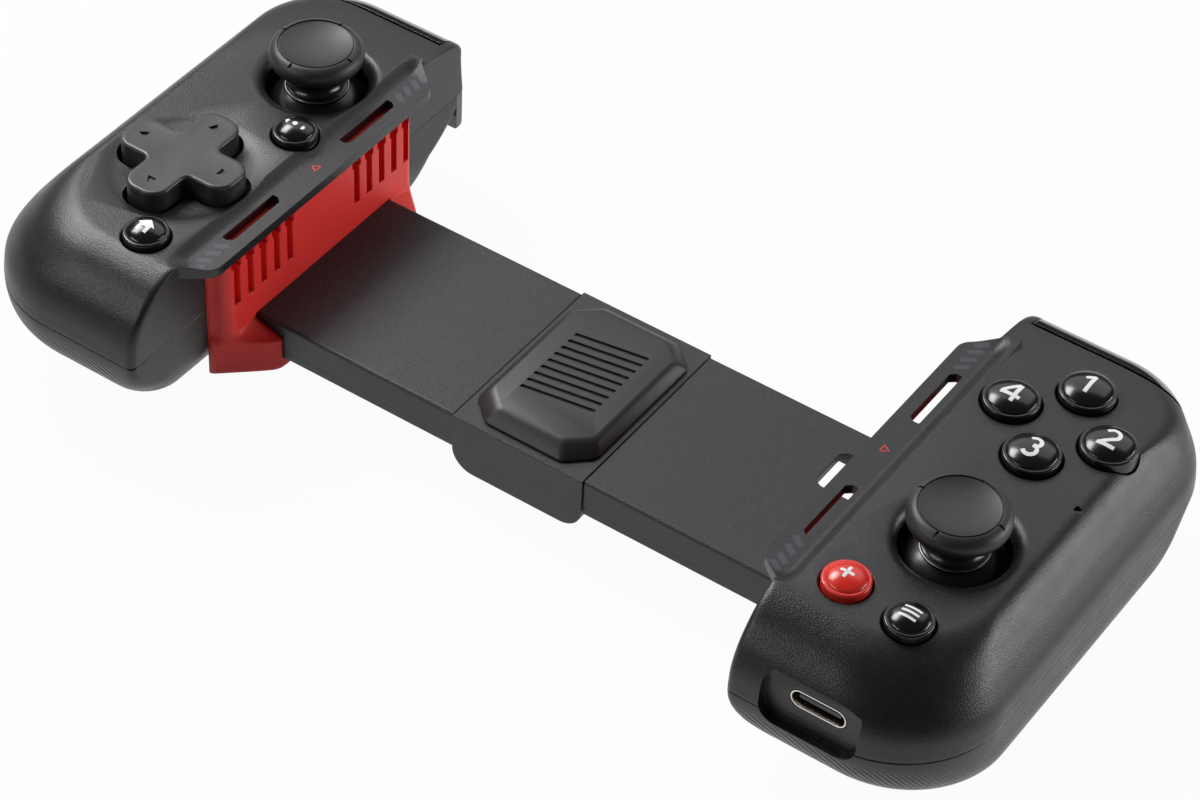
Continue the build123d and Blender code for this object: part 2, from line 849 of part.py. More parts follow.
def stick_bow(side):
    """Square gimbal ring that rocks on trunnions along X."""
    place = (side * well_table[side]["stick"][0], well_table[side]["stick"][1])
    with BuildPart() as bow:
        with BuildSketch(Plane.XY.offset(stick_pivot_z - bow_half_height)):
            with Locations(place):
                Rectangle(2 * bow_half, 2 * bow_half)
                Rectangle(2 * (bow_half - bow_wall), 2 * (bow_half - bow_wall), mode=Mode.SUBTRACT)
        extrude(amount=2 * bow_half_height)
        for direction in (-1, 1):
            rod(place[1], stick_pivot_z, trunnion_radius,
                place[0] + direction * (bow_half - bow_wall / 2), place[0] + direction * housing_half)
        with BuildSketch(Plane.XZ.offset(-place[1] - bow_half - EPS)):
            with Locations((place[0], stick_pivot_z)):
                Circle(trunnion_radius + trunnion_gap)
        extrude(amount=2 * (bow_half + EPS), mode=Mode.SUBTRACT)
    return bow.part


def stick_shaft(side):
    """Hub with trunnions along Y and the stem that the cap slides on."""
    place = (side * well_table[side]["stick"][0], well_table[side]["stick"][1])
    with BuildPart() as shaft:
        with BuildSketch(Plane.XZ.offset(-place[1])):
            with Locations((place[0], stick_pivot_z)):
                Circle(hub_radius)
        extrude(amount=hub_radius, both=True)
        disc(place, stem_radius, stick_pivot_z, stem_top_z)
        with BuildSketch(Plane.XZ.offset(-place[1])):
            with Locations((place[0], stick_pivot_z)):
                Circle(trunnion_radius)
        extrude(amount=bow_half, both=True)
    return shaft.part


def stick_neck(side):
    """Glossy neck and dome that close the well while the stick tilts."""
    centre_x = side * well_table[side]["stick"][0]
    centre_y = well_table[side]["stick"][1]
    inner_radius = dome_radius - dome_wall
    edge = radians(dome_edge_angle)
    ring_z = stick_pivot_z + sqrt(dome_radius ** 2 - ring_radius ** 2)
    bore = stem_radius + stem_gap
    bore_z = stick_pivot_z + sqrt(inner_radius ** 2 - bore ** 2)
    cap_bottom = cap_middle_z - cap_rim_radius

    def p(radius, height):
        return (centre_x + radius, height)

    outer_low = p(dome_radius * sin(edge), stick_pivot_z + dome_radius * cos(edge))
    inner_low = p(inner_radius * sin(edge), stick_pivot_z + inner_radius * cos(edge))
    with BuildPart() as neck:
        with BuildSketch(Plane.XZ.offset(-centre_y)):
            with BuildLine():
                Polyline(p(bore, bore_z), p(bore, cap_bottom), p(neck_radius, cap_bottom),
                         p(neck_radius, neck_foot_z))
                TangentArc(p(neck_radius, neck_foot_z), p(ring_radius, ring_top_z), tangent=(0, -1))
                Line(p(ring_radius, ring_top_z), p(ring_radius, ring_z))
                RadiusArc(p(ring_radius, ring_z), outer_low, dome_radius)
                Line(outer_low, inner_low)
                RadiusArc(inner_low, p(bore, bore_z), -inner_radius)
            make_face()
        revolve(axis=Axis((centre_x, centre_y, 0), (0, 0, 1)))
    return neck.part


def stick_cap(side):
    """Rubber mushroom cap: rounded rim, ring groove, shallow dish and four notches."""
    centre_x = side * well_table[side]["stick"][0]
    centre_y = well_table[side]["stick"][1]
    rim_x = cap_radius - cap_rim_radius
    cap_bottom = cap_middle_z - cap_rim_radius
    cap_top = cap_middle_z + cap_rim_radius
    dish_edge = cap_groove_radius - cap_groove_width

    def p(radius, height):
        return (centre_x + radius, height)

    with BuildPart() as cap:
        with BuildSketch(Plane.XZ.offset(-centre_y)):
            with BuildLine():
                Polyline(p(0, cap_dish_z - cap_dish_depth), p(0, cap_bottom), p(rim_x, cap_bottom))
                RadiusArc(p(rim_x, cap_bottom), p(cap_radius, cap_middle_z), -cap_rim_radius)
                RadiusArc(p(cap_radius, cap_middle_z), p(rim_x, cap_top), -cap_rim_radius)
                Line(p(rim_x, cap_top), p(dish_edge, cap_dish_z))
                RadiusArc(
                    p(dish_edge, cap_dish_z), p(0, cap_dish_z - cap_dish_depth),
                    axial_radius(dish_edge, cap_dish_depth),
                )
            make_face()
        revolve(axis=Axis((centre_x, centre_y, 0), (0, 0, 1)))
        with BuildSketch(Plane.XY.offset(cap_top)):
            with Locations((centre_x, centre_y)):
                with PolarLocations(cap_groove_radius + cap_notch_length / 2, 4):
                    Rectangle(cap_notch_length, cap_notch_width)
        extrude(amount=-cap_notch_depth, mode=Mode.SUBTRACT)
    return cap.part


def round_key(side, place, radius):
    """Domed key with a collar step and a flange under the case."""
    centre_x = side * place[0]
    collar_z = top_z + key_collar_height
    dome_edge = radius - key_collar_step
    shoulder_z = collar_z + key_collar_step / 2

    def p(r, height):
        return (centre_x + r, height)

    with BuildPart() as key:
        with BuildSketch(Plane.XZ.offset(-place[1])):
            with BuildLine():
                Polyline(
                    p(0, top_z + key_top_height), p(0, key_bottom_z), p(radius + key_skirt, key_bottom_z),
                    p(radius + key_skirt, key_bottom_z + key_skirt_height),
                    p(radius, key_bottom_z + key_skirt_height), p(radius, collar_z),
                    p(dome_edge, shoulder_z),
                )
                RadiusArc(
                    p(dome_edge, shoulder_z), p(0, top_z + key_top_height),
                    -axial_radius(dome_edge, top_z + key_top_height - shoulder_z),
                )
            make_face()
        revolve(axis=Axis((centre_x, place[1], 0), (0, 0, 1)))
    return key.part


def key_mat(side):
    """Silicone mat on the board, with one post under each key."""
    wells = well_table[side]
    posts = list(wells["small"]) + list(wells["face"])
    with BuildPart() as mat:
        with BuildSketch(Plane.XY.offset(board_top_z)):
            with BuildLine():
                near_x = grip_inner_x + cradle_tongue_reach + cradle_gap + board_boss_gap
                FilletPolyline(
                    (side * near_x, mat_inset - grip_half_length),
                    (side * (grip_outer_x - mat_inset), mat_inset - grip_half_length),
                    (side * (grip_outer_x - mat_inset), grip_half_length - 2 * mat_inset),
                    (side * near_x, grip_half_length - 2 * mat_inset),
                    radius=[corner_inner, mat_corner, mat_corner, corner_inner],
                    close=True,
                )
            make_face()
            with Locations((side * wells["stick"][0], wells["stick"][1])):
                hole = 2 * (housing_half + housing_flange + mat_window_gap)
                Rectangle(hole, hole, mode=Mode.SUBTRACT)
            with Locations(mirrored(side, boss_places)):
                Circle(boss_radius + mat_window_gap, mode=Mode.SUBTRACT)
            if side == LEFT:
                with Locations((side * dpad_place[0], dpad_place[1])):
                    Rectangle(2 * (dpad_base_half + mat_window_gap), 2 * (dpad_base_half + mat_window_gap),
                              mode=Mode.SUBTRACT)
            if side == RIGHT:
                with Locations((port_x, -grip_half_length)):
                    Rectangle(port_width + 2 * mat_window_gap, 2 * (port_length + grip_half_length
                              + recess_floor_y + mat_window_gap), mode=Mode.SUBTRACT)
                with Locations(light_place):
                    Circle(light_radius + mat_window_gap, mode=Mode.SUBTRACT)
        extrude(amount=mat_thickness)
        for place in mirrored(side, posts):
            disc(place, mat_post_radius, board_top_z, key_bottom_z - mat_post_gap)
        if side == LEFT:
            with BuildSketch(Plane.XY.offset(board_top_z)):
                with Locations((side * dpad_place[0], dpad_place[1])):
                    with PolarLocations(dpad_post_place, 4):
                        Circle(dpad_post_radius)
            extrude(amount=dpad_bottom_z - dpad_post_gap - board_top_z)
    return mat.part


def cradle(side):
    """Rubber end stop for the phone, with a toe that clasps the sliding plate."""
    face = side * cradle_face_x
    back = side * grip_inner_x
    toe = side * cradle_toe_x
    with BuildPart() as stop:
        # Wall
        block((face, -cradle_half, cradle_foot_z), (back, cradle_half, cradle_top_z))
        # Flared toe, on both sides of the plate
        with BuildSketch(Plane.XY.offset(cradle_foot_z)):
            with BuildLine():
                Polyline(
                    (back, -cradle_root_half), (side * cradle_root_x, -cradle_root_half), (toe, -cradle_toe_half),
                    (toe, cradle_toe_half), (side * cradle_root_x, cradle_root_half), (back, cradle_root_half),
                    close=True,
                )
            make_face()
        extrude(amount=cradle_ledge_z - cradle_foot_z)
        # Small fillet where the wall meets the plate
        with BuildSketch(Plane.XZ.offset(-plate_half_width)):
            with BuildLine():
                Polyline(
                    (face, plate_top_z + cradle_fillet), (face, plate_top_z),
                    (face - side * cradle_fillet, plate_top_z),
                )
                RadiusArc(
                    (face - side * cradle_fillet, plate_top_z), (face, plate_top_z + cradle_fillet),
                    side * cradle_fillet,
                )
            make_face()
        extrude(amount=2 * plate_half_width)
        # Pocket for the end of the plate, open below it as far as the pocket's mouth
        pocket_end = side * pocket_floor_x
        block(
            (face - side * grip_inner_x, -plate_half_width - cradle_gap, plate_bottom_z - cradle_gap),
            (pocket_end, plate_half_width + cradle_gap, plate_top_z),
            mode=Mode.SUBTRACT,
        )
        block(
            (toe - side * EPS, -cradle_sole_half, cradle_foot_z - EPS),
            (face - side * cradle_fillet, cradle_sole_half, plate_bottom_z),
            mode=Mode.SUBTRACT,
        )
        if side == RIGHT:
            block(
                (face - side * EPS, -right_wall_half, right_wall_top_z),
                (back + side * EPS, cradle_half + EPS, cradle_top_z + EPS),
                mode=Mode.SUBTRACT,
            )
            block(
                (face - side * 2 * EPS, plug_notch_y - plug_notch_half, plate_top_z + cradle_fillet),
                (back - side * EPS, plug_notch_y + plug_notch_half, cradle_top_z),
                mode=Mode.SUBTRACT,
            )
        # Two groups of grip slots
        for direction in (-1, 1):
            for number in range(slot_count):
                slot_y = direction * (slot_first_y + number * slot_pitch)
                block(
                    (face - side * EPS, slot_y - slot_width / 2, slot_top_z - slot_height),
                    (face + side * slot_depth, slot_y + slot_width / 2, slot_top_z),
                    mode=Mode.SUBTRACT,
                )
                block(
                    (face - side * EPS, slot_y - slot_notch_width / 2, slot_top_z),
                    (face + side * slot_notch_depth, slot_y + slot_notch_width / 2, cradle_top_z + EPS),
                    mode=Mode.SUBTRACT,
                )
        # Tongue caught between the two halves of the case
        block(
            (back, -cradle_tongue_half, split_z - cradle_tongue_height / 2),
            (back + side * cradle_tongue_reach, cradle_tongue_half, split_z + cradle_tongue_height / 2),
        )
    return stop.part


def plate_channels(side, low_z, high_z):
    """Hollows inside a plate: for its own arm, the other side's arm and the spring."""
    own = side
    start = plate_start_x - EPS
    block(
        (side * start, own * (arm_tip_y - arm_gap), low_z),
        (side * (arm_home_end + arm_gap), own * (arm_back_y + arm_gap), high_z), mode=Mode.SUBTRACT,
    )
    block(
        (side * start, -own * (arm_tip_y - arm_gap), low_z),
        (side * (arm_far_end + arm_gap), -own * (arm_back_y + arm_gap), high_z), mode=Mode.SUBTRACT,
    )
    block(
        (side * start, -own * (spring_y - spring_radius - arm_gap), low_z),
        (side * (spring_far_x + spring_seat_gap), -own * (spring_y + spring_radius + arm_gap), high_z),
        mode=Mode.SUBTRACT,
    )


def charge_hole():
    """Pass-through for a charging lead in the right plate."""
    with BuildSketch(Plane.XY.offset(plate_bottom_z - EPS)) as base:
        with Locations(((charge_hole_x[0] + charge_hole_x[1]) / 2, (charge_hole_y[0] + charge_hole_y[1]) / 2)):
            RectangleRounded(charge_hole_x[1] - charge_hole_x[0], charge_hole_y[1] - charge_hole_y[0],
                             charge_hole_corner)
    extrude(base.sketch, amount=plate_thickness + 2 * EPS, mode=Mode.SUBTRACT)
    block((lead_room_x[0], lead_room_y[0], plate_bottom_z - EPS),
          (lead_room_x[1], lead_room_y[1], plate_top_z - lead_skin), mode=Mode.SUBTRACT)


def plate_cover(side):
    """Upper part of a sliding plate, with the channels for the arms."""
    with BuildPart() as cover:
        block(
            (side * plate_start_x, -plate_half_width, plate_joint_z),
            (side * (pocket_floor_x - slide_gap), plate_half_width, plate_top_z),
        )
        fillet(cover.edges().filter_by(Axis.X).group_by(Axis.Z)[-1], plate_edge)
        plate_channels(side, plate_joint_z - EPS, arm_top_z + arm_gap)
        # Peg that holds the outer end of the return spring
        rod(-side * spring_y, arm_bottom_z + arm_thickness / 2, spring_peg_radius,
            side * (spring_far_x - spring_peg_length), side * (spring_far_x + plate_wall))
        with BuildSketch(Plane.XY.offset(plate_joint_z)):
            with Locations([(side * x, side * (arm_root_y + arm_back_y) / 2) for x in plate_screw_places]):
                Circle(plate_screw_radius)
        extrude(amount=plate_screw_length, mode=Mode.SUBTRACT)
        if side == RIGHT:
            charge_hole()
    return cover.part


def plate_base(side):
    """Lower part of a sliding plate, screwed up through the arm."""
    places = [(side * x, side * (arm_root_y + arm_back_y) / 2) for x in plate_screw_places]
    with BuildPart() as base:
        block(
            (side * plate_start_x, -plate_half_width, plate_bottom_z),
            (side * (pocket_floor_x - slide_gap), plate_half_width, plate_joint_z),
        )
        with BuildSketch(Plane.XY.offset(plate_bottom_z - EPS)):
            with Locations(places):
                Circle(plate_screw_radius + screw_clearance)
        extrude(amount=plate_thickness, mode=Mode.SUBTRACT)
        with BuildSketch(Plane.XY.offset(plate_bottom_z - EPS)):
            with Locations(places):
                Circle(plate_screw_head_radius + screw_clearance)
        extrude(amount=plate_screw_head_height + EPS, mode=Mode.SUBTRACT)
        if side == RIGHT:
            charge_hole()
    return base.part


def plate_screws(side):
    places = [(side * x, side * (arm_root_y + arm_back_y) / 2) for x in plate_screw_places]
    with BuildPart() as screws:
        for place in places:
            disc(place, plate_screw_head_radius, plate_bottom_z, plate_bottom_z + plate_screw_head_height)
            disc(place, plate_screw_radius - screw_clearance / 2, plate_bottom_z + plate_screw_head_height,
                 plate_bottom_z + plate_screw_head_height + plate_screw_length)
    return screws.part


def rack_tooth(side, middle_x):
    """One straight-flanked rack tooth, pointing at the pinion."""
    lean = tan(radians(pressure_angle))
    half_pitch = tooth_pitch / 4 - gear_backlash / 4
    tip = half_pitch - gear_addendum * gear_module * lean
    foot = half_pitch + gear_dedendum * gear_module * lean
    with BuildSketch(Plane.XY.offset(arm_bottom_z)) as tooth:
        with BuildLine():
            Polyline(
                (middle_x - foot, side * (arm_root_y + gear_backlash)), (middle_x - foot, side * arm_root_y),
                (middle_x - tip, side * arm_tip_y), (middle_x + tip, side * arm_tip_y),
                (middle_x + foot, side * arm_root_y), (middle_x + foot, side * (arm_root_y + gear_backlash)),
                close=True,
            )
        make_face()
    extrude(tooth.sketch, amount=arm_thickness)


def rack_arm(side):
    """Steel arm of one half: its rack runs past the pinion into the other plate."""
    count = int(slide_travel / tooth_pitch) + 2 * rack_spare_teeth
    with BuildPart() as arm:
        with BuildSketch(Plane.XY.offset(arm_bottom_z)):
            with Locations((side * (arm_home_end - arm_far_end) / 2, side * (arm_root_y + arm_back_y) / 2)):
                Rectangle(arm_home_end + arm_far_end, arm_back_y - arm_root_y)
            places = [(side * x, side * (arm_root_y + arm_back_y) / 2) for x in plate_screw_places]
            with Locations(places):
                Circle(plate_screw_radius + screw_clearance / 2, mode=Mode.SUBTRACT)
        extrude(amount=arm_thickness)
        for number in range(count):
            rack_tooth(side, side * (rack_spare_teeth - number - 0.5) * tooth_pitch)
    return arm.part


def return_spring(side):
    """Sleeve that stands for the closed coils of the return spring."""
    spring_z = arm_bottom_z + arm_thickness / 2
    with BuildPart() as coil:
        rod(-side * spring_y, spring_z, spring_radius,
            side * (block_half_length + spring_seat_gap), side * (spring_far_x - spring_seat_gap))
        rod(-side * spring_y, spring_z, spring_radius - spring_wall,
            side * block_half_length, side * spring_far_x, mode=Mode.SUBTRACT)
    return coil.part


for side, word in ((LEFT, "left"), (RIGHT, "right")):
    save(upper_case(side), f"{word}_upper_case")
    save(lower_case(side), f"{word}_lower_case")
    save(case_screws(side), f"{word}_case_screws")
    save(bumper(side), f"{word}_bumper")
    save(trigger(side), f"{word}_trigger")
    save(trigger_pin(side), f"{word}_trigger_pin")
    save(trigger_spring(side), f"{word}_trigger_spring")
    save(circuit_board(side), f"{word}_circuit_board")
    save(stick_housing(side), f"{word}_stick_housing")
    save(stick_bow(side), f"{word}_stick_bow")
    save(stick_shaft(side), f"{word}_stick_shaft")
    save(stick_neck(side), f"{word}_stick_neck")
    save(stick_cap(side), f"{word}_stick_cap")
    save(key_mat(side), f"{word}_key_mat")
    save(cradle(side), f"{word}_cradle")
    save(plate_cover(side), f"{word}_plate_cover")
    save(plate_base(side), f"{word}_plate_base")
    save(plate_screws(side), f"{word}_plate_screws")
    save(rack_arm(side), f"{word}_rack_arm")
    save(return_spring(side), f"{word}_return_spring")

# Round keys
save(round_key(LEFT, home_place, small_key_radius), "home_button")
save(round_key(LEFT, view_place, small_key_radius), "view_button")
save(round_key(RIGHT, link_place, small_key_radius), "link_button")
save(round_key(RIGHT, menu_place, small_key_radius), "menu_button")
for number, place in enumerate(face_places, start=1):
    save(round_key(RIGHT, place, face_key_radius), f"face_button_{number}")

# Direction pad: base with two ears, rocking ring and cross
dpad_x = -dpad_place[0]
dpad_y = dpad_place[1]
with BuildPart() as dpad_base:
    block(
        (dpad_x - dpad_base_half, dpad_y - dpad_base_half, board_top_z),
        (dpad_x + dpad_base_half, dpad_y + dpad_base_half, board_top_z + dpad_base_height),
    )
    for direction in (-1, 1):
        ear_start = dpad_x + direction * (dpad_ring_half + trunnion_gap + slide_gap)
        block(
            (ear_start, dpad_y - dpad_ear_width / 2, board_top_z),
            (ear_start + direction * dpad_ear_wall, dpad_y + dpad_ear_width / 2,
             dpad_pivot_z + dpad_ear_width / 2),
        )
    rod(dpad_y, dpad_pivot_z, trunnion_radius + trunnion_gap, dpad_x - dpad_base_half,
        dpad_x + dpad_base_half, mode=Mode.SUBTRACT)
save(dpad_base.part, "dpad_base")

with BuildPart() as dpad_ring:
    with BuildSketch(Plane.XY.offset(dpad_pivot_z - dpad_ring_half_height)):
        with Locations((dpad_x, dpad_y)):
            Rectangle(2 * dpad_ring_half, 2 * dpad_ring_half)
            Rectangle(2 * (dpad_ring_half - dpad_ring_wall), 2 * (dpad_ring_half - dpad_ring_wall),
                      mode=Mode.SUBTRACT)
    extrude(amount=2 * dpad_ring_half_height)
    for direction in (-1, 1):
        rod(dpad_y, dpad_pivot_z, trunnion_radius, dpad_x + direction * (dpad_ring_half - dpad_ring_wall / 2),
            dpad_x + direction * (dpad_ring_half + slide_gap + dpad_ear_wall))
    with BuildSketch(Plane.XZ.offset(-dpad_y - dpad_ring_half - EPS)):
        with Locations((dpad_x, dpad_pivot_z)):
            Circle(trunnion_radius + trunnion_gap)
    extrude(amount=2 * (dpad_ring_half + EPS), mode=Mode.SUBTRACT)
save(dpad_ring.part, "dpad_ring")

with BuildPart() as dpad_cross:
    with BuildSketch(Plane.XY.offset(dpad_bottom_z)) as cross:
        with Locations((dpad_x, dpad_y)):
            dpad_shape()
        corners = cross.vertices().sort_by(lambda v: (v.X - dpad_x) ** 2 + (v.Y - dpad_y) ** 2)[:4]
        fillet(corners, dpad_inner_fillet)
    extrude(amount=dpad_top_z - dpad_bottom_z)
    chamfer(dpad_cross.faces().sort_by(Axis.Z)[-1].edges(), dpad_edge)
    with BuildSketch(Plane.XY.offset(dpad_top_z)):
        with Locations((dpad_x, dpad_y)):
            with PolarLocations(dpad_mark_place, 4):
                RegularPolygon(dpad_mark_size, 3)
    extrude(amount=-dpad_mark_depth, mode=Mode.SUBTRACT)
    disc((dpad_x, dpad_y), dpad_stem_radius, dpad_pivot_z, dpad_bottom_z)
    with BuildSketch(Plane.XZ.offset(-dpad_y)):
        with Locations((dpad_x, dpad_pivot_z)):
            Circle(dpad_hub_radius)
    extrude(amount=dpad_hub_radius, both=True)
    with BuildSketch(Plane.XZ.offset(-dpad_y)):
        with Locations((dpad_x, dpad_pivot_z)):
            Circle(trunnion_radius)
    extrude(amount=dpad_ring_half, both=True)
save(dpad_cross.part, "dpad_cross")

# Battery pack on its ribs
with BuildPart() as battery:
    with BuildSketch(Plane.XY.offset(battery_z)):
        with Locations((-battery_x - battery_width / 2, battery_front_y + battery_length / 2)):
            RectangleRounded(battery_width, battery_length, battery_corner)
    extrude(amount=battery_height)
save(battery.part, "battery")

# Charging socket: shell with a back wall, foot and tongue
with BuildPart() as usb_port:
    with BuildSketch(Plane.XZ.offset(-recess_floor_y)):
        with Locations((port_x, port_z)):
            SlotOverall(port_width, port_height)
    extrude(amount=-port_length)
    with BuildSketch(Plane.XZ.offset(-recess_floor_y)):
        with Locations((port_x, port_z)):
            SlotOverall(port_width - 2 * port_shell, port_height - 2 * port_shell)
    extrude(amount=-(port_length - port_back_wall), mode=Mode.SUBTRACT)
    with BuildSketch(Plane.XZ.offset(-recess_floor_y - port_tongue_setback)):
        with Locations((port_x, port_z)):
            Rectangle(port_tongue_width, port_tongue_height)
    extrude(amount=-(port_length - port_tongue_setback))
    block(
        (port_x - port_foot_width / 2, recess_floor_y + recess_wall + port_clearance + board_boss_gap, board_top_z),
        (port_x + port_foot_width / 2, recess_floor_y + port_length, port_z - port_height / 2 + port_shell / 2),
    )
save(usb_port.part, "usb_port")

with BuildPart() as light_pipe:
    disc(light_place, light_radius, board_top_z, top_z - light_sink)
save(light_pipe.part, "light_pipe")

# Middle block: housing, inset cap, its screws and the phone pad
with BuildPart() as bridge_housing:
    with BuildSketch(Plane.XZ.offset(-block_half_width)):
        with BuildLine():
            FilletPolyline(
                (-block_half_length, block_top_z), (-block_half_length, block_bottom_z),
                (block_half_length, block_bottom_z), (block_half_length, block_top_z),
                radius=[0, block_corner, block_corner, 0], close=True,
            )
        make_face()
    extrude(amount=2 * block_half_width)
    inner_half = block_half_length - block_wall
    block(
        (-inner_half, -well_half_width, block_bottom_z + block_floor),
        (inner_half, well_half_width, block_top_z + EPS), mode=Mode.SUBTRACT,
    )
    with BuildSketch(Plane.XY.offset(cap_bottom_z)):
        RectangleRounded(2 * (cap_half_length + cap_gap), 2 * (cap_half_width + cap_gap), cap_corner + cap_gap)
    extrude(amount=cap_thickness + EPS, mode=Mode.SUBTRACT)
    # Windows for the two arms
    for direction in (-1, 1):
        block(
            (-block_half_length - EPS, direction * (arm_tip_y - arm_gap), arm_bottom_z - arm_gap),
            (block_half_length + EPS, direction * (arm_back_y + arm_gap), arm_top_z + arm_gap),
            mode=Mode.SUBTRACT,
        )
        # Peg that holds the inner end of a return spring
        rod(-direction * spring_y, arm_bottom_z + arm_thickness / 2, spring_peg_radius,
            direction * (inner_half + block_wall / 2), direction * (block_half_length + spring_peg_length))
    # Bearing boss of the pinion
    disc((0, 0), gear_boss_radius, block_bottom_z, arm_bottom_z - gear_seat_gap)
    disc((0, 0), gear_pin_radius, block_bottom_z + gear_pin_foot, block_top_z, mode=Mode.SUBTRACT)
    screw_places = [(x, y) for x in (-cap_screw_x, cap_screw_x) for y in (-cap_screw_y, cap_screw_y)]
    with BuildSketch(Plane.XY.offset(cap_bottom_z)):
        with Locations(screw_places):
            Circle(cap_screw_radius + screw_clearance / 2)
    extrude(amount=-(cap_screw_length + screw_clearance), mode=Mode.SUBTRACT)
save(bridge_housing.part, "bridge_housing")

with BuildPart() as bridge_cap:
    with BuildSketch(Plane.XY.offset(cap_bottom_z)):
        RectangleRounded(2 * cap_half_length, 2 * cap_half_width, cap_corner)
        Circle(gear_pin_radius, mode=Mode.SUBTRACT)
        with Locations(screw_places):
            Circle(cap_screw_radius + screw_clearance / 2, mode=Mode.SUBTRACT)
    extrude(amount=cap_thickness)
    with BuildSketch(Plane.XY.offset(block_top_z)):
        with Locations(screw_places):
            Circle(cap_screw_head_radius + screw_clearance)
    extrude(amount=-cap_screw_head_height, mode=Mode.SUBTRACT)
save(bridge_cap.part, "bridge_cap")

with BuildPart() as bridge_screws:
    for place in screw_places:
        disc(place, cap_screw_head_radius, block_top_z - cap_screw_head_height, block_top_z)
        disc(place, cap_screw_radius, cap_bottom_z - cap_screw_length, block_top_z - cap_screw_head_height)
save(bridge_screws.part, "bridge_screws")

with BuildPart() as pinion_pin:
    disc((0, 0), gear_pin_radius, block_bottom_z + gear_pin_foot, block_top_z)
save(pinion_pin.part, "pinion_pin")

with BuildPart() as phone_pad:
    with BuildSketch(Plane.XY.offset(block_top_z)):
        with BuildLine():
            Polyline(
                (pad_half_length - pad_corner_x, -pad_half_width), (pad_half_length, pad_corner_y - pad_half_width),
                (pad_half_length, pad_half_width - pad_corner_y), (pad_half_length - pad_corner_x, pad_half_width),
                (pad_corner_x - pad_half_length, pad_half_width), (-pad_half_length, pad_half_width - pad_corner_y),
                (-pad_half_length, pad_corner_y - pad_half_width), (pad_corner_x - pad_half_length, -pad_half_width),
                close=True,
            )
        make_face()
    extrude(amount=pad_height)
    chamfer(phone_pad.faces().sort_by(Axis.Z)[-1].edges(), pad_bevel)
    # Slanted grip grooves in a plain stepped row
    with BuildSketch(Plane.XY.offset(block_top_z + pad_height)):
        for number in range(pad_groove_count):
            shift = number - (pad_groove_count - 1) / 2
            with Locations((0, shift * pad_groove_pitch)):
                SlotOverall(pad_groove_half - abs(shift) * pad_groove_step, pad_groove_width, rotation=45)
    extrude(amount=-pad_groove_depth, mode=Mode.SUBTRACT)
save(phone_pad.part, "phone_pad")

# Pinion between the two racks, with involute flanks
base_radius = pitch_radius * cos(radians(pressure_angle))


def involute_offset(radius):
    """Polar angle that an involute flank has turned through at a radius."""
    if radius <= base_radius:
        return 0.0
    roll = sqrt((radius / base_radius) ** 2 - 1)
    return roll - acos(base_radius / radius)


def flank_point(radius, turn, hand):
    """Point on one flank of a tooth whose middle is at an angle of turn."""
    half_angle = (pi / 2 - gear_backlash / (2 * gear_module)) / gear_teeth
    angle = half_angle + involute_offset(pitch_radius) - involute_offset(radius)
    return (radius * cos(turn + hand * angle), radius * sin(turn + hand * angle))


with BuildPart() as sync_pinion:
    with BuildSketch(Plane.XY.offset(arm_bottom_z)):
        with BuildLine():
            outline = []
            radii = [root_radius + (outer_radius - root_radius) * step / flank_steps
                     for step in range(flank_steps + 1)]
            for tooth in range(gear_teeth):
                turn = tooth * 2 * pi / gear_teeth
                outline += [flank_point(radius, turn, -1) for radius in radii]
                outline += [flank_point(radius, turn, 1) for radius in reversed(radii)]
            Polyline(*outline, close=True)
        make_face()
        Circle(gear_pin_radius + gear_pin_gap, mode=Mode.SUBTRACT)
    extrude(amount=arm_thickness)
save(sync_pinion.part, "sync_pinion")
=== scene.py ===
"""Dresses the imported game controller: two grips, a geared bridge and the phone's cradles."""

import json

import bpy
import numpy as np
from mathutils import Matrix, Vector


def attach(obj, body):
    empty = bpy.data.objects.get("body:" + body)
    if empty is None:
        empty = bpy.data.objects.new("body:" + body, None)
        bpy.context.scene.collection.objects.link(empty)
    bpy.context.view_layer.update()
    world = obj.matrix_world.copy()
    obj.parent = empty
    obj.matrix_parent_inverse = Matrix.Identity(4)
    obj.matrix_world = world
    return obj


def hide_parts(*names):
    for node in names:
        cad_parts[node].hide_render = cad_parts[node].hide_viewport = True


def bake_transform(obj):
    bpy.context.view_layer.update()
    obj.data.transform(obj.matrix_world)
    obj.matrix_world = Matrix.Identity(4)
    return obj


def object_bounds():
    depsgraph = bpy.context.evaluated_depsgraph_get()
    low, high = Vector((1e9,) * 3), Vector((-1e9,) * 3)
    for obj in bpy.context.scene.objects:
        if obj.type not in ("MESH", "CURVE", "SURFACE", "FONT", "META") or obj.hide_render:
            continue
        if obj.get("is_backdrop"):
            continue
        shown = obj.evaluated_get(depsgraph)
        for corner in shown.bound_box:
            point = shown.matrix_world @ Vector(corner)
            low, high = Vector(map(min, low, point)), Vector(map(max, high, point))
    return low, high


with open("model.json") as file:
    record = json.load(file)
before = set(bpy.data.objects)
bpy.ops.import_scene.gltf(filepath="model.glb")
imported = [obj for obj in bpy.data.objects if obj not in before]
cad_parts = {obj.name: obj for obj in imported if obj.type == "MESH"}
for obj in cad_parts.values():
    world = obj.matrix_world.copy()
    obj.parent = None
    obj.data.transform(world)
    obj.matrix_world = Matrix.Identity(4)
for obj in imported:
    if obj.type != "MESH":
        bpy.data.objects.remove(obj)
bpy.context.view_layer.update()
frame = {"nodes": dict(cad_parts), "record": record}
nodes = frame["nodes"]

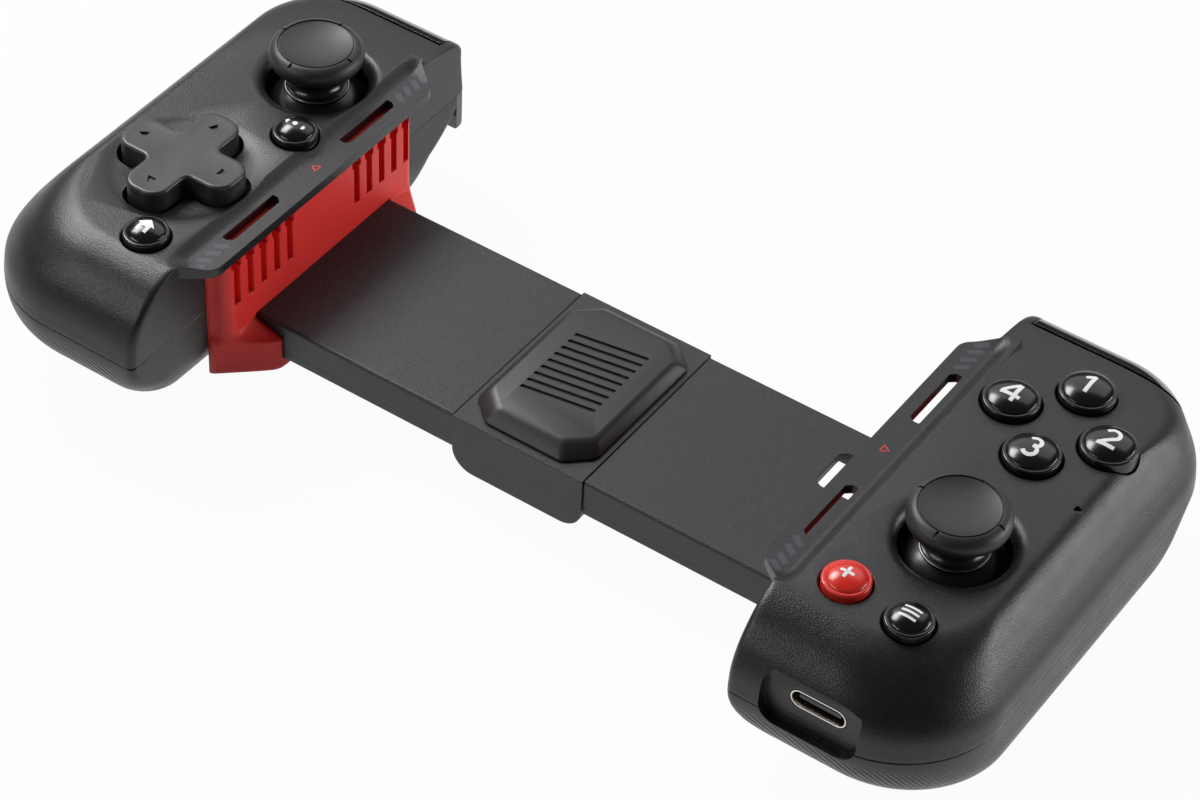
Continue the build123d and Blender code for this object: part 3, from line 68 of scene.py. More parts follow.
# Grip shells: two injection-moulded halves of black plastic with a fine spark-eroded grain,
# joined at a seam below mid height. The lower half has a finer ribbed grip texture.
MM = 0.001
SIDES = (("left", -1), ("right", 1))
grip_inner_x, grip_outer_x, grip_half_length = 52.3, 86.4, 41.5
top_z, split_z = 29.0, 16.2
shell_wall = 1.8
corner_front, corner_back, corner_near = 17.0, 14.5, 1.2
shoulder_z, shoulder_drop = 17.0, 12.0
shoulder_draw = (11.0, 8.0, 18.0)                      # front, outer side, back
shoulder_front_shares = (0, 0.036, 0.155, 0.345, 0.56, 0.8, 1)
shoulder_outer_shares = (0, 0.05, 0.24, 0.46, 0.65, 0.83, 1)
shoulder_back_shares = (0, 0.017, 0.028, 0.045, 0.23, 0.67, 1)
shoulder_tighten, belly_tighten = 0.3, 0.95
belly_draw = (22.5, 10.0, 11.0, 5.0)                    # front, outer, inner front, inner back
belly_rise = (16.2, 11.2, 10.0, 10.0)
belly_back, belly_back_shares = 14.5, (0, 0.2, 0.41, 0.6, 0.79, 0.93, 1)
belly_corner_share, belly_corner_limit = 1.5, 5.2
seam_groove = 0.14
rib_inner_x = (54.5, 56.5)                              # the grip texture starts here


def smooth_through(shares, count):
    """Values along evenly spaced shares, each span a cubic with the slope of its neighbours."""
    knots = np.asarray(shares, float)
    slopes = np.gradient(knots)
    place = np.linspace(0, len(knots) - 1, count)
    span = np.minimum(place.astype(int), len(knots) - 2)
    t = place - span
    a, b = knots[span], knots[span + 1]
    return (a * (1 + 2 * t) * (1 - t) ** 2 + slopes[span] * t * (1 - t) ** 2
            + b * t * t * (3 - 2 * t) + slopes[span + 1] * t * t * (t - 1))


def smooth_step(value):
    """0 below 0, 1 above 1, and 3t^2 - 2t^3 between."""
    t = np.clip(value, 0, 1)
    return t * t * (3 - 2 * t)


def rounded_loops(low, high, radii, counts, height):
    """Rounded rectangles, one a row: low is (near x front, near x back, front y), high (far x, back y).

    Each corner is a quarter circle of its own radius and each side a straight run, always with the
    same number of points, so that the rows join into a skin.
    """
    near_front, near_back, front = low
    far, back = high
    rows = []
    centres = (
        (near_front + radii[0], front + radii[0]), (far - radii[1], front + radii[1]),
        (far - radii[2], back - radii[2]), (near_back + radii[3], back - radii[3]),
    )
    for corner, (cx, cy) in enumerate(centres):
        turn = np.pi * (1 + corner / 2) + np.linspace(0, np.pi / 2, counts[corner])
        rows.append((cx[:, None] + radii[corner][:, None] * np.cos(turn),
                     cy[:, None] + radii[corner][:, None] * np.sin(turn)))
        nx, ny = centres[(corner + 1) % 4]
        ahead = radii[(corner + 1) % 4]
        lean = np.pi * (1 + corner / 2) + np.pi / 2
        start = (cx + radii[corner] * np.cos(lean), cy + radii[corner] * np.sin(lean))
        stop = (nx + ahead * np.cos(lean), ny + ahead * np.sin(lean))
        t = np.linspace(0, 1, counts[4 + corner % 2] + 2)[1:-1]
        rows.append((start[0][:, None] * (1 - t) + stop[0][:, None] * t,
                     start[1][:, None] * (1 - t) + stop[1][:, None] * t))
    x = np.concatenate([r[0] for r in rows], axis=1)
    y = np.concatenate([r[1] for r in rows], axis=1)
    return np.stack([x, y, np.broadcast_to(height[:, None], x.shape)], axis=2)


def skin_of(rings, ends="capped"):
    """Points and faces of closed rings joined row to row: ends are capped, open or joined together."""
    rows, count = rings.shape[:2]
    index = np.arange(rows * count).reshape(rows, count)
    a, b = (index, np.roll(index, -1, 0)) if ends == "joined" else (index[:-1], index[1:])
    quads = np.stack([a, np.roll(a, -1, 1), np.roll(b, -1, 1), b], axis=2).reshape(-1, 4).tolist()
    if ends == "capped":
        quads += [index[0][::-1].tolist(), index[-1].tolist()]
    return rings.reshape(-1, 3), quads


def mesh_piece(name, points, faces, material=None, side=1, sharp=None):
    """Object from points in millimetres; side -1 mirrors it in x and turns its faces back."""
    points = np.asarray(points, float) * MM * np.array([side, 1, 1])
    if side < 0:
        faces = [f[::-1] for f in faces]
    mesh = bpy.data.meshes.new(name)
    mesh.from_pydata(points.tolist(), [], faces)
    mesh.update()
    mesh.shade_smooth()
    if sharp is not None:
        mesh.set_sharp_from_angle(angle=np.radians(sharp))
    if material is not None:
        mesh.materials.append(material)
    piece = bpy.data.objects.new(name, mesh)
    bpy.context.scene.collection.objects.link(piece)
    return piece


def carve(piece, tools, sharp=32):
    """Joins or cuts each (tool, operation) in turn and keeps the result as the piece's mesh."""
    for tool, operation in tools:
        step = piece.modifiers.new("carve", "BOOLEAN")
        step.object, step.operation, step.solver = tool, operation, "MANIFOLD"
    bpy.context.view_layer.update()
    result = bpy.data.meshes.new_from_object(piece.evaluated_get(bpy.context.evaluated_depsgraph_get()))
    piece.modifiers.clear()
    result.name = piece.name
    piece.data = result
    result.shade_smooth()
    result.set_sharp_from_angle(angle=np.radians(sharp))
    for tool, _ in tools:
        bpy.data.objects.remove(tool)
    return piece


def put_on(piece, body, slot, *replaced):
    """The piece moves with its body and stands for CAD nodes, which are hidden; the slot is not used."""
    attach(piece, body)
    if replaced:
        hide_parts(*replaced)
    return piece


def upper_rings(skin=0.0, groove=seam_groove, count=46):
    """Outline drawn in by shares of the shoulder at heights that follow a quarter sine."""
    angle = np.linspace(0, np.pi / 2, count)
    front, outer, back = (smooth_through(s, count) * d for s, d in zip(
        (shoulder_front_shares, shoulder_outer_shares, shoulder_back_shares), shoulder_draw))
    height = shoulder_z + (shoulder_drop - skin) * np.sin(angle)
    first = [split_z, split_z + 1.2 * seam_groove, (split_z + shoulder_z) / 2]
    height = np.concatenate([first, height])
    front, outer, back = (np.concatenate([[groove, 0, 0], v]) for v in (front, outer, back))
    near = np.full(len(height), grip_inner_x + skin)
    near[0] += groove
    tighter = skin + shoulder_tighten * outer
    small = np.full(len(height), corner_near if skin == 0 else 0.4)
    return rounded_loops(
        (near, near, front + skin - grip_half_length),
        (grip_outer_x - outer - skin, grip_half_length - back - skin),
        (small, corner_front - tighter, corner_back - tighter, small), (7, 34, 34, 7, 26, 60), height)


def lower_rings(skin=0.0, groove=seam_groove, count=44):
    """Outline drawn in by quarter ellipses, each side from its own height to the foot; the back slants."""
    angle = np.linspace(0, np.pi / 2, count)
    height = skin + (split_z - 1.2 * seam_groove - skin) * (1 - np.sin(angle))
    draws = []
    for draw, rise in zip(belly_draw, belly_rise):
        share = np.clip(1 - (height - skin) / (rise - skin), 0, 1)
        draws.append(draw * (1 - np.sqrt(1 - share ** 2)))
    height = np.concatenate([[split_z], height])
    draws.insert(2, belly_back * smooth_through(belly_back_shares, count))
    front, outer, back, near_front, near_back = (np.concatenate([[groove], v]) for v in draws)
    tighter = skin + belly_tighten * outer
    small = np.minimum(corner_near + belly_corner_share * front, belly_corner_limit)
    small = np.maximum(corner_near, small - skin)
    rings = rounded_loops(
        (grip_inner_x + near_front + skin, grip_inner_x + near_back + skin, front + skin - grip_half_length),
        (grip_outer_x - outer - skin, grip_half_length - back - skin),
        (small, corner_front - tighter, corner_back - tighter, small), (9, 34, 34, 9, 26, 60), height)
    return rings[::-1]


def prism(outline, low_z, high_z):
    """Points and faces of an upright block over an outline."""
    outline = np.asarray(outline, float)
    rings = np.stack([np.column_stack([outline, np.full(len(outline), z)]) for z in (low_z, high_z)])
    return skin_of(rings)


def rectangle(x0, x1, y0, y1):
    """Corners of an upright rectangle, in order."""
    return [(x0, y0), (x1, y0), (x1, y1), (x0, y1)]


def box(x0, x1, y0, y1, z0, z1):
    """Points and faces of a plain block, for cuts and for walls inside."""
    return prism(rectangle(x0, x1, y0, y1), z0, z1)


def rod(y, z, radius, x0, x1, count=40):
    """Points and faces of a round bar along x: a circle at each end, joined by straight lines."""
    turn = np.linspace(0, 2 * np.pi, count, endpoint=False)
    rings = np.stack([np.stack([np.full(count, x), y + radius * np.cos(turn), z + radius * np.sin(turn)], 1)
                      for x in (x0, x1)])
    return skin_of(rings)


def to_front(shape):
    """Lays a shape over, so that its height runs towards the player."""
    return shape[0][:, [0, 2, 1]] * np.array([1, -1, 1]), shape[1]


def rounded_polygon(corners, radii, steps=7):
    """Outline whose corners are arcs that touch both of their sides."""
    corners = np.asarray(corners, float)
    radii = np.broadcast_to(radii, len(corners))
    out = []
    for k, corner in enumerate(corners):
        before = corners[k - 1] - corner
        after = corners[(k + 1) % len(corners)] - corner
        before, after = before / np.linalg.norm(before), after / np.linalg.norm(after)
        half = np.arccos(np.clip(before @ after, -1, 1)) / 2
        reach = radii[k] / np.tan(half)
        middle = corner + (before + after) / np.linalg.norm(before + after) * radii[k] / np.sin(half)
        t = np.linspace(0, 1, steps)[:, None]
        start, stop = corner + before * reach - middle, corner + after * reach - middle
        wide = np.arccos(np.clip(start @ stop / radii[k] ** 2, -1, 1))
        out.append(middle + (np.sin((1 - t) * wide) * start + np.sin(t * wide) * stop) / np.sin(wide))
    return np.concatenate(out)


def lathe(profile, centre, count=96):
    """Points and faces of a profile of (radius, height) turned about an upright axis.

    A profile that starts off the axis is a closed loop, such as a ring's.
    """
    profile = np.asarray(profile, float)
    turn = np.linspace(0, 2 * np.pi, count, endpoint=False)
    inner = profile[profile[:, 0] > 0]
    rings = np.stack([
        centre[0] + inner[:, :1] * np.cos(turn), centre[1] + inner[:, :1] * np.sin(turn),
        np.broadcast_to(inner[:, 1:], (len(inner), count))], axis=2)
    if profile[0, 0] > 0:
        return skin_of(rings, "joined")
    points, faces = skin_of(rings, "open")
    base = len(points)
    ends = np.array([[centre[0], centre[1], profile[0, 1]], [centre[0], centre[1], profile[-1, 1]]])
    around = np.arange(count)
    after = np.roll(around, -1)
    last = (len(inner) - 1) * count
    faces += np.column_stack([after, around, np.full(count, base)]).tolist()
    faces += np.column_stack([around + last, after + last, np.full(count, base + 1)]).tolist()
    return np.concatenate([points, ends]), faces


def arc(centre, radius, start, stop, steps):
    """Points of a circular arc, angles in degrees."""
    turn = np.radians(np.linspace(start, stop, steps))
    return np.column_stack([centre[0] + radius * np.cos(turn), centre[1] + radius * np.sin(turn)])


def plastic(name, colour, rough, grain=0.0, grain_scale=4200.0, mottle=0.06, coat=0.0, edge=0.0,
            specular=0.5, metal=0.0, ribs=None):
    """Principled surface: noise moves its colour and roughness a little and its grain is a bump.

    Ribs are (direction, pitch, depth, top): a sine along the direction, faded out above the top.
    """
    material = bpy.data.materials.new(name)
    material.use_nodes = True
    tree = material.node_tree
    shader = tree.nodes["Principled BSDF"]
    shader.inputs["Specular IOR Level"].default_value = specular
    shader.inputs["Metallic"].default_value = metal
    if coat:
        shader.inputs["Coat Weight"].default_value = coat
        shader.inputs["Coat Roughness"].default_value = 0.04
    place = tree.nodes.new("ShaderNodeTexCoord").outputs["Object"]

    def noise(scale, detail):
        node = tree.nodes.new("ShaderNodeTexNoise")
        node.inputs["Scale"].default_value = scale
        node.inputs["Detail"].default_value = detail
        tree.links.new(place, node.inputs["Vector"])
        return node.outputs["Fac"]

    def combined(operation, *sources):
        node = tree.nodes.new("ShaderNodeMath")
        node.operation = operation
        for socket, source in zip(node.inputs, sources):
            tree.links.new(source, socket)
        return node.outputs[0]

    def faded(source, start, stop):
        node = tree.nodes.new("ShaderNodeMapRange")
        node.inputs["From Min"].default_value = start * MM
        node.inputs["From Max"].default_value = stop * MM
        tree.links.new(source, node.inputs["Value"])
        return node.outputs["Result"]

    def bumped(height, distance, normal):
        node = tree.nodes.new("ShaderNodeBump")
        node.inputs["Strength"].default_value = 1.0
        node.inputs["Distance"].default_value = distance * MM
        tree.links.new(height, node.inputs["Height"])
        if normal is not None:
            tree.links.new(normal, node.inputs["Normal"])
        return node.outputs["Normal"]

    ramp = tree.nodes.new("ShaderNodeMix")
    ramp.data_type = "RGBA"
    ramp.inputs[6].default_value = (*[c * (1 - 2 * mottle) for c in colour], 1)
    ramp.inputs[7].default_value = (*[min(1, c * (1 + 2 * mottle)) for c in colour], 1)
    tree.links.new(noise(1800.0, 5.0), ramp.inputs[0])
    tree.links.new(ramp.outputs[2], shader.inputs["Base Color"])
    spread = tree.nodes.new("ShaderNodeMapRange")
    spread.inputs["To Min"].default_value = max(0.02, rough - 0.07)
    spread.inputs["To Max"].default_value = min(1, rough + 0.07)
    tree.links.new(noise(260.0, 3.0), spread.inputs["Value"])
    tree.links.new(spread.outputs["Result"], shader.inputs["Roughness"])
    normal = None
    if edge:
        bevel = tree.nodes.new("ShaderNodeBevel")
        bevel.samples = 6
        bevel.inputs["Radius"].default_value = edge * MM
        normal = bevel.outputs["Normal"]
    if grain:
        normal = bumped(noise(grain_scale, 2.0), grain, normal)
    if ribs:
        direction, pitch, depth, top = ribs
        lean = tree.nodes.new("ShaderNodeVectorMath")
        lean.operation = "DOT_PRODUCT"
        lean.inputs[1].default_value = tuple(d * 2 * np.pi / (pitch * MM) for d in direction)
        tree.links.new(place, lean.inputs[0])
        split = tree.nodes.new("ShaderNodeSeparateXYZ")
        tree.links.new(place, split.inputs[0])
        outside = faded(combined("ABSOLUTE", split.outputs["X"]), *rib_inner_x)
        below = faded(split.outputs["Z"], top, top - 0.8)
        height = combined("MULTIPLY", combined("SINE", lean.outputs["Value"]), below)
        normal = bumped(combined("MULTIPLY", height, outside), depth, normal)
    if normal is not None:
        tree.links.new(normal, shader.inputs["Normal"])
    return material


shell_plastic = plastic("grained_shell", (0.0128, 0.0126, 0.0155), 0.36, grain=0.05, grain_scale=4300.0,
                        mottle=0.32, edge=0.18, specular=0.42)
grip_plastic = plastic("ribbed_shell", (0.012, 0.0115, 0.012), 0.4, grain=0.04, mottle=0.1, edge=0.18,
                       specular=0.42, ribs=((0.25, 0.75, 0.61), 0.55, 0.09, 13.8))
boss_places = ((56.9, 29.0), (81, -4), (57.3, -34), (78.5, -30))

# where the keys, sticks and openings are, as (x, y) of the right-hand way round
stick_pivot, ball_radius, ball_room = 18.3, 10.0, 0.2
stick_place = {"left": (63.5, 17.4), "right": (68.4, -9.2)}
small_keys = {"left": {"home_button": (60.3, -27.7), "view_button": (57.3, 4.1)},
              "right": {"link_button": (60.7, -25.5), "menu_button": (71.5, -26.8)}}
face_keys = {"face_button_1": (68.7, 27.0), "face_button_2": (76.7, 19.0),
             "face_button_3": (68.7, 11.0), "face_button_4": (60.7, 19.0)}
small_key_radius, face_key_radius = 3.55, 4.3
light_place = (79.1, 5.9)
well_radius, well_flare = 8.0, 2.3
dpad_place = (66.0, -12.1)
dpad_reach, dpad_width, dpad_corner, dpad_inner = 10.6, 7.4, 2.9, 1.1
key_gap = 0.22
port_place, recess_place, recess_size = (66.1, 19.8), (65.4, 18.9), (15.4, 9.4)
recess_floor_y, recess_wall = -39.8, 1.3
ledge_x, ledge_half, ledge_top, ledge_bottom = 48.0, 26.6, 28.0, 26.4
ledge_root = ((52.4, 30.0), (52.9, 30.9), (55.5, 31.2))
window_middle, window_half, window_x, window_slant = 14.2, 6.1, (50.2, 52.0), 0.8
valley_foot, valley_reach, valley_end, valley_end_reach, valley_rise = 52.7, 2.7, 27.2, 4.6, 1.12
boss_round, boss_well, boss_screw = (2.5, 3.3), 2.0, 1.05   # upper and lower boss, head room, screw
front_wall_y, pocket_y, pocket_foot, pocket_cheek_y = (35.15, 34.4), 35.8, 8.3, 39.2
bumper_room_x, bumper_room_y, bumper_room_z = (53.9, 79.8), 36.55, 17.3
tongue_room, ear_places, ear_width = (51.3, 54.8, -18.1, 18.1, 14.1, 18.3), (55.0, 71.0), 1.6
past_back, past_top, past_foot = 43, 31, -1                 # beyond the case, for cuts


def cross_outline(grow=0.0, steps=9):
    """Cross with round arm ends and filleted inner corners."""
    r, w = dpad_reach + grow, dpad_width / 2 + grow
    corners = [(w, -w), (r, -w), (r, w), (w, w), (w, r), (-w, r), (-w, w), (-r, w), (-r, -w), (-w, -w),
               (-w, -r), (w, -r)]
    end, inner = min(dpad_corner + grow, w - 0.05), max(dpad_inner - grow, 0.3)
    radii = [inner, end, end, inner, end, end, inner, end, end, inner, end, end]
    return rounded_polygon(corners, radii, steps) + np.array(dpad_place)


def valley_height(x, y):
    """Ledge level near the inner edge, rising by two smooth steps to just over the top."""
    inward = smooth_step((x - valley_foot) / valley_reach)
    endward = smooth_step((np.abs(y) - valley_end) / valley_end_reach)
    return ledge_top + valley_rise * (1 - (1 - inward) * (1 - endward))


def block_between(top, bottom):
    """Points and faces of the solid between two grids of points of the same size."""
    rows, cols = top.shape[:2]
    index = np.arange(rows * cols).reshape(rows, cols)
    quads = np.stack([index[:-1, :-1], index[:-1, 1:], index[1:, 1:], index[1:, :-1]], 2).reshape(-1, 4)
    faces = quads[:, ::-1].tolist() + (quads + rows * cols).tolist()
    rim = np.concatenate([index[0, :-1], index[:-1, -1], index[-1, :0:-1], index[:0:-1, 0]])
    ahead = np.roll(rim, -1)
    faces += np.column_stack([rim, ahead, ahead + rows * cols, rim + rows * cols]).tolist()
    return np.concatenate([top.reshape(-1, 3), bottom.reshape(-1, 3)]), faces


def tool_of(shape, side):
    """Shape as an object to join or cut with, mirrored for the left grip."""
    return mesh_piece("tool", shape[0], shape[1], None, side)


def hole(place, radius, low, chamfer=0.22):
    """Round hole with a small chamfer at the top of the case."""
    return lathe([(0, low), (radius, low), (radius, top_z - chamfer), (radius + chamfer, top_z),
                  (radius + chamfer, top_z + 1), (0, top_z + 1)], place)


def stadium(width, height, steps=24):
    """Outline of the charging plug: two half circles joined by straight sides."""
    radius = height / 2
    reach = width / 2 - radius
    return np.concatenate([arc((port_place[0] + reach, port_place[1]), radius, -90, 90, steps),
                           arc((port_place[0] - reach, port_place[1]), radius, 90, 270, steps)])


for word, side in SIDES:
    points, faces = skin_of(upper_rings())
    upper = mesh_piece(f"{word}_upper_shell", points, faces, shell_plastic, side)
    x, y = np.meshgrid(np.linspace(46.5, 56.0, 40), np.linspace(-34.5, 34.5, 180), indexing="ij")
    valley = block_between(np.stack([x, y, np.full_like(x, top_z + 2)], 2),
                           np.stack([x, y, valley_height(x, y)], 2))
    flange = rounded_polygon(
        [(x, -y) for x, y in ledge_root[::-1]] + [(ledge_x, -ledge_half), (ledge_x, ledge_half)]
        + list(ledge_root), [0.1, 0.3, 1.2, 2.6, 2.6, 1.2, 0.3, 0.1])
    tools = [(tool_of(prism(flange[::-1], ledge_bottom, top_z - 0.01), side), "UNION"),
             (tool_of(valley, side), "DIFFERENCE")]
    hollow = skin_of(upper_rings(shell_wall, 0.0))
    hollow[0][:, 2] = np.where(hollow[0][:, 2] <= split_z + 0.01, split_z - 1, hollow[0][:, 2])
    cavity = tool_of(hollow, side)
    post = [(0, 14), (boss_round[0], 14), (boss_round[0], past_top), (0, past_top)]
    walls = [box(50, 88, front_wall_y[0], past_back, 14, past_top)]
    walls += [lathe(post, place, 40) for place in boss_places]
    hollow = skin_of(lower_rings(shell_wall, 0.0))
    hollow[0][:, 2] = np.where(hollow[0][:, 2] >= split_z - 0.01, split_z + 1, hollow[0][:, 2])
    inside = tool_of(hollow, side)
    post = [(0, past_foot), (boss_round[1], past_foot), (boss_round[1], 19), (0, 19)]
    floors = [box(50, 88, front_wall_y[1], past_back, past_foot, 19)]
    floors += [lathe(post, place, 40) for place in boss_places]
    if side > 0:
        half_w, half_h = recess_size[0] / 2 + recess_wall, recess_size[1] / 2 + recess_wall
        pocket = box(recess_place[0] - half_w, recess_place[0] + half_w, -past_back,
                     recess_floor_y + recess_wall, recess_place[1] - half_h, recess_place[1] + half_h)
        walls.append(pocket)
        floors.append(pocket)
    carve(cavity, [(tool_of(w, side), "DIFFERENCE") for w in walls])
    carve(inside, [(tool_of(w, side), "DIFFERENCE") for w in floors])
    tongue_slot = box(*tongue_room)
    tools += [(cavity, "DIFFERENCE"), (tool_of(tongue_slot, side), "DIFFERENCE")]
    near, far = window_x
    for middle in (-window_middle, window_middle):
        low, high = middle - window_half, middle + window_half
        window = rounded_polygon([(near, low + 0.7), (near + window_slant, low), (far, low), (far, high),
                                  (near + window_slant, high), (near, high - 0.7)], 0.25, 4)
        tools.append((tool_of(prism(window, 20, 30), side), "DIFFERENCE"))
    flare = arc((well_radius + well_flare, top_z - well_flare), well_flare, 180, 90, 16)
    well = lathe(np.concatenate([[(0, 24), (well_radius, 24)], flare,
                                 [(well_radius + well_flare, top_z + 1), (0, top_z + 1)]]),
                 stick_place[word], 160)
    tools.append((tool_of(well, side), "DIFFERENCE"))
    room = arc((0, stick_pivot), ball_radius + ball_room, -90, 90, 48)
    room[[0, -1], 0] = 0
    swing = lathe(room, stick_place[word])
    tools.append((tool_of(swing, side), "DIFFERENCE"))
    for place in small_keys[word].values():
        tools.append((tool_of(hole(place, small_key_radius + key_gap, 24), side), "DIFFERENCE"))
    if side > 0:
        for place in face_keys.values():
            tools.append((tool_of(hole(place, face_key_radius + key_gap, 24), side), "DIFFERENCE"))
        tools.append((tool_of(hole(light_place, 0.55, 24, 0.1), side), "DIFFERENCE"))
    else:
        tools.append((tool_of(prism(cross_outline(0.75), 24, 31), side), "DIFFERENCE"))
        dish = lathe([(0, 28.4), (10.2, 28.4), (11.6, 28.66), (12.5, 29.0), (12.7, 29.2), (0, 29.2)],
                     dpad_place, 160)
        tools.append((tool_of(dish, side), "DIFFERENCE"))
    bumper_room = box(*bumper_room_x, bumper_room_y, past_back, bumper_room_z, past_top)
    tools.append((tool_of(bumper_room, side), "DIFFERENCE"))
    points, faces = skin_of(lower_rings())
    lower = mesh_piece(f"{word}_lower_shell", points, faces, grip_plastic, side)
    under = [(inside, "DIFFERENCE")] + [(tool_of(room, side), "DIFFERENCE") for room in (
        box(54.1, 78.9, pocket_y, past_back, pocket_foot, 17.5),
        box(51, 78.9, pocket_cheek_y, past_back, pocket_foot, 17.5), tongue_slot)]
    for x in ear_places:                                    # ears for the trigger's pin
        under += [(tool_of(box(x, x + ear_width, 34.6, 38, 12.25, 14.95), side), "UNION"),
                  (tool_of(rod(38, 13.6, 1.35, x, x + ear_width), side), "UNION")]
    for place in boss_places:
        well = lathe([(0, past_foot), (boss_well, past_foot), (boss_well, 9), (boss_screw, 9),
                      (boss_screw, 18), (0, 18)], place, 40)
        under.append((tool_of(well, side), "DIFFERENCE"))
    if side > 0:
        half_w, half_h = recess_size[0] / 2, recess_size[1] / 2
        mouth = rounded_polygon(
            rectangle(recess_place[0] - half_w, recess_place[0] + half_w,
                      recess_place[1] - half_h, recess_place[1] + half_h), 3.0, 10)
        for stack in (tools, under):
            stack += [(tool_of(to_front(prism(mouth, -recess_floor_y, 45)), side), "DIFFERENCE"),
                      (tool_of(to_front(prism(stadium(9.14, 3.46), 36, 41)), side), "DIFFERENCE")]
    carve(upper, tools)
    carve(lower, under)
    put_on(upper, f"{word}_grip", "shell", f"{word}_upper_case")
    put_on(lower, f"{word}_grip", "shell", f"{word}_lower_case")

# Printed trim of the ledge: four slanted bars in dull ink at each end, and a small outlined
# triangle in red halfway, all on the floor of the valley beside the phone.
stripe_ink = plastic("bar_ink", (0.04, 0.041, 0.058), 0.5, grain=0.03, mottle=0.05)
marker_ink = plastic("marker_ink", (0.5, 0.02, 0.02), 0.45, mottle=0.03)
bar_middles, bar_x, bar_lean, bar_width = (21.9, 23.9, 25.9, 27.7), (49.8, 51.7), 1.35, 0.95
marker_corners = ((50.35, 0.0), (51.5, 0.75), (50.35, 1.5), (50.35, -0.05))


def merged(*shapes):
    """Several closed shapes as one set of points and faces."""
    starts = np.cumsum([0] + [len(points) for points, _ in shapes])
    faces = [(np.asarray(face) + start).tolist()
             for start, (_, rows) in zip(starts, shapes) for face in rows]
    return np.concatenate([points for points, _ in shapes]), faces


def ribbon(path, width, surface, lift=0.03, sink=0.12, step=0.22):
    """Thin raised line: each point of an evenly divided path is moved half the width to both sides,
    square to the path, and laid on the surface. Two widths make it taper from one to the other."""
    path = np.asarray(path, float)
    run = np.concatenate([[0], np.cumsum(np.linalg.norm(np.diff(path, axis=0), axis=1))])
    place = np.linspace(0, run[-1], max(3, int(run[-1] / step) + 2))
    line = np.column_stack([np.interp(place, run, path[:, k]) for k in (0, 1)])
    along = np.gradient(line, axis=0)
    along /= np.linalg.norm(along, axis=1)[:, None]
    across = np.column_stack([-along[:, 1], along[:, 0]])
    wide = np.linspace(*np.broadcast_to(width, 2), len(line))[:, None, None]
    flat = line[:, None] + across[:, None] * np.linspace(-0.5, 0.5, 4)[None, :, None] * wide
    height = surface(flat[..., 0], flat[..., 1])[..., None]
    return block_between(np.concatenate([flat, height + lift], 2), np.concatenate([flat, height - sink], 2))


for word, side in SIDES:
    bars = []
    for end in (-1, 1):
        for middle in bar_middles:
            run = [(bar_x[0], end * (middle - bar_lean / 2)), (bar_x[1], end * (middle + bar_lean / 2))]
            bars.append(ribbon(run, bar_width, valley_height, 0.012))
    trim = mesh_piece(f"{word}_ledge_bars", *merged(*bars), stripe_ink, side, 40)
    put_on(trim, f"{word}_grip", "shell")
    line = ribbon(marker_corners, 0.22, valley_height, 0.015)
    marker = mesh_piece(f"{word}_ledge_marker", *line, marker_ink, side, 40)
    put_on(marker, f"{word}_grip", "red_key")

# Round keys: polished caps with a rounded collar, a step and a shallow dome. Each symbol is a
# thin white inlay that follows the dome; the linking key is red.
key_bottom, key_flange_top, collar_top, dome_foot, dome_rise = 25.2, 26.0, 30.05, 30.12, 1.15
dome_step, collar_round, key_flange = 0.55, 0.3, 0.6
key_gloss = plastic("polished_key", (0.006, 0.006, 0.0065), 0.2, mottle=0.04, coat=0.0, edge=0.08)
key_red = plastic("polished_red_key", (0.7, 0.03, 0.02), 0.25, mottle=0.03, coat=0.0, edge=0.1)
symbol_white = plastic("symbol_inlay", (0.78, 0.78, 0.8), 0.35, mottle=0.02)
symbol_width = 0.62
symbols = {
    "face_button_1": [[(-0.95, 0.85), (0.2, 1.75)], [(0.2, 1.9), (0.2, -1.8)]],
    "face_button_2": [np.concatenate([arc((0, 0.78), 1.02, 165, -40, 16), [(-1.15, -1.5)]]),
                      [(-1.45, -1.52), (1.35, -1.52)]],
    "face_button_3": [arc((-0.1, 0.83), 0.92, 150, -88, 18), arc((-0.1, -0.82), 1.0, 88, -150, 18)],
    "face_button_4": [[(0.5, 1.8), (-1.4, -0.62)], [(-1.62, -0.75), (1.5, -0.75)],
                      [(0.6, 1.9), (0.6, -1.85)]],
    "home_button": [[(-0.68, -1.35), (-0.68, 0.2)], [(0.68, -1.35), (0.68, 0.2)],
                    [(-0.9, -0.1), (0.9, -0.1)]],
    "menu_button": [[(-1.35, y), (1.35, y)] for y in (-0.9, 0.0, 0.9)],
    "link_button": [[(-1.1, 0.0), (1.1, 0.0)], [(0.0, -1.1), (0.0, 1.1)]],
    "view_button": [],
}
house_roof, roof_widths = ((0.0, 0.1), (0.0, 1.45)), (3.1, 0.08)
dot_radius, dot_places = 0.42, (-1.35, 0, 1.35)
thin_symbols = {"home_button": 0.62, "menu_button": 0.4, "link_button": 0.5}


def dome_height(reach, radius):
    """Height of a key's dome: part a half ellipse and part a parabola over its foot."""
    share = np.clip(reach / (radius - dome_step), 0, 1)
    return dome_foot + dome_rise * (0.45 * np.sqrt(1 - share ** 2) + 0.55 * (1 - share ** 2))


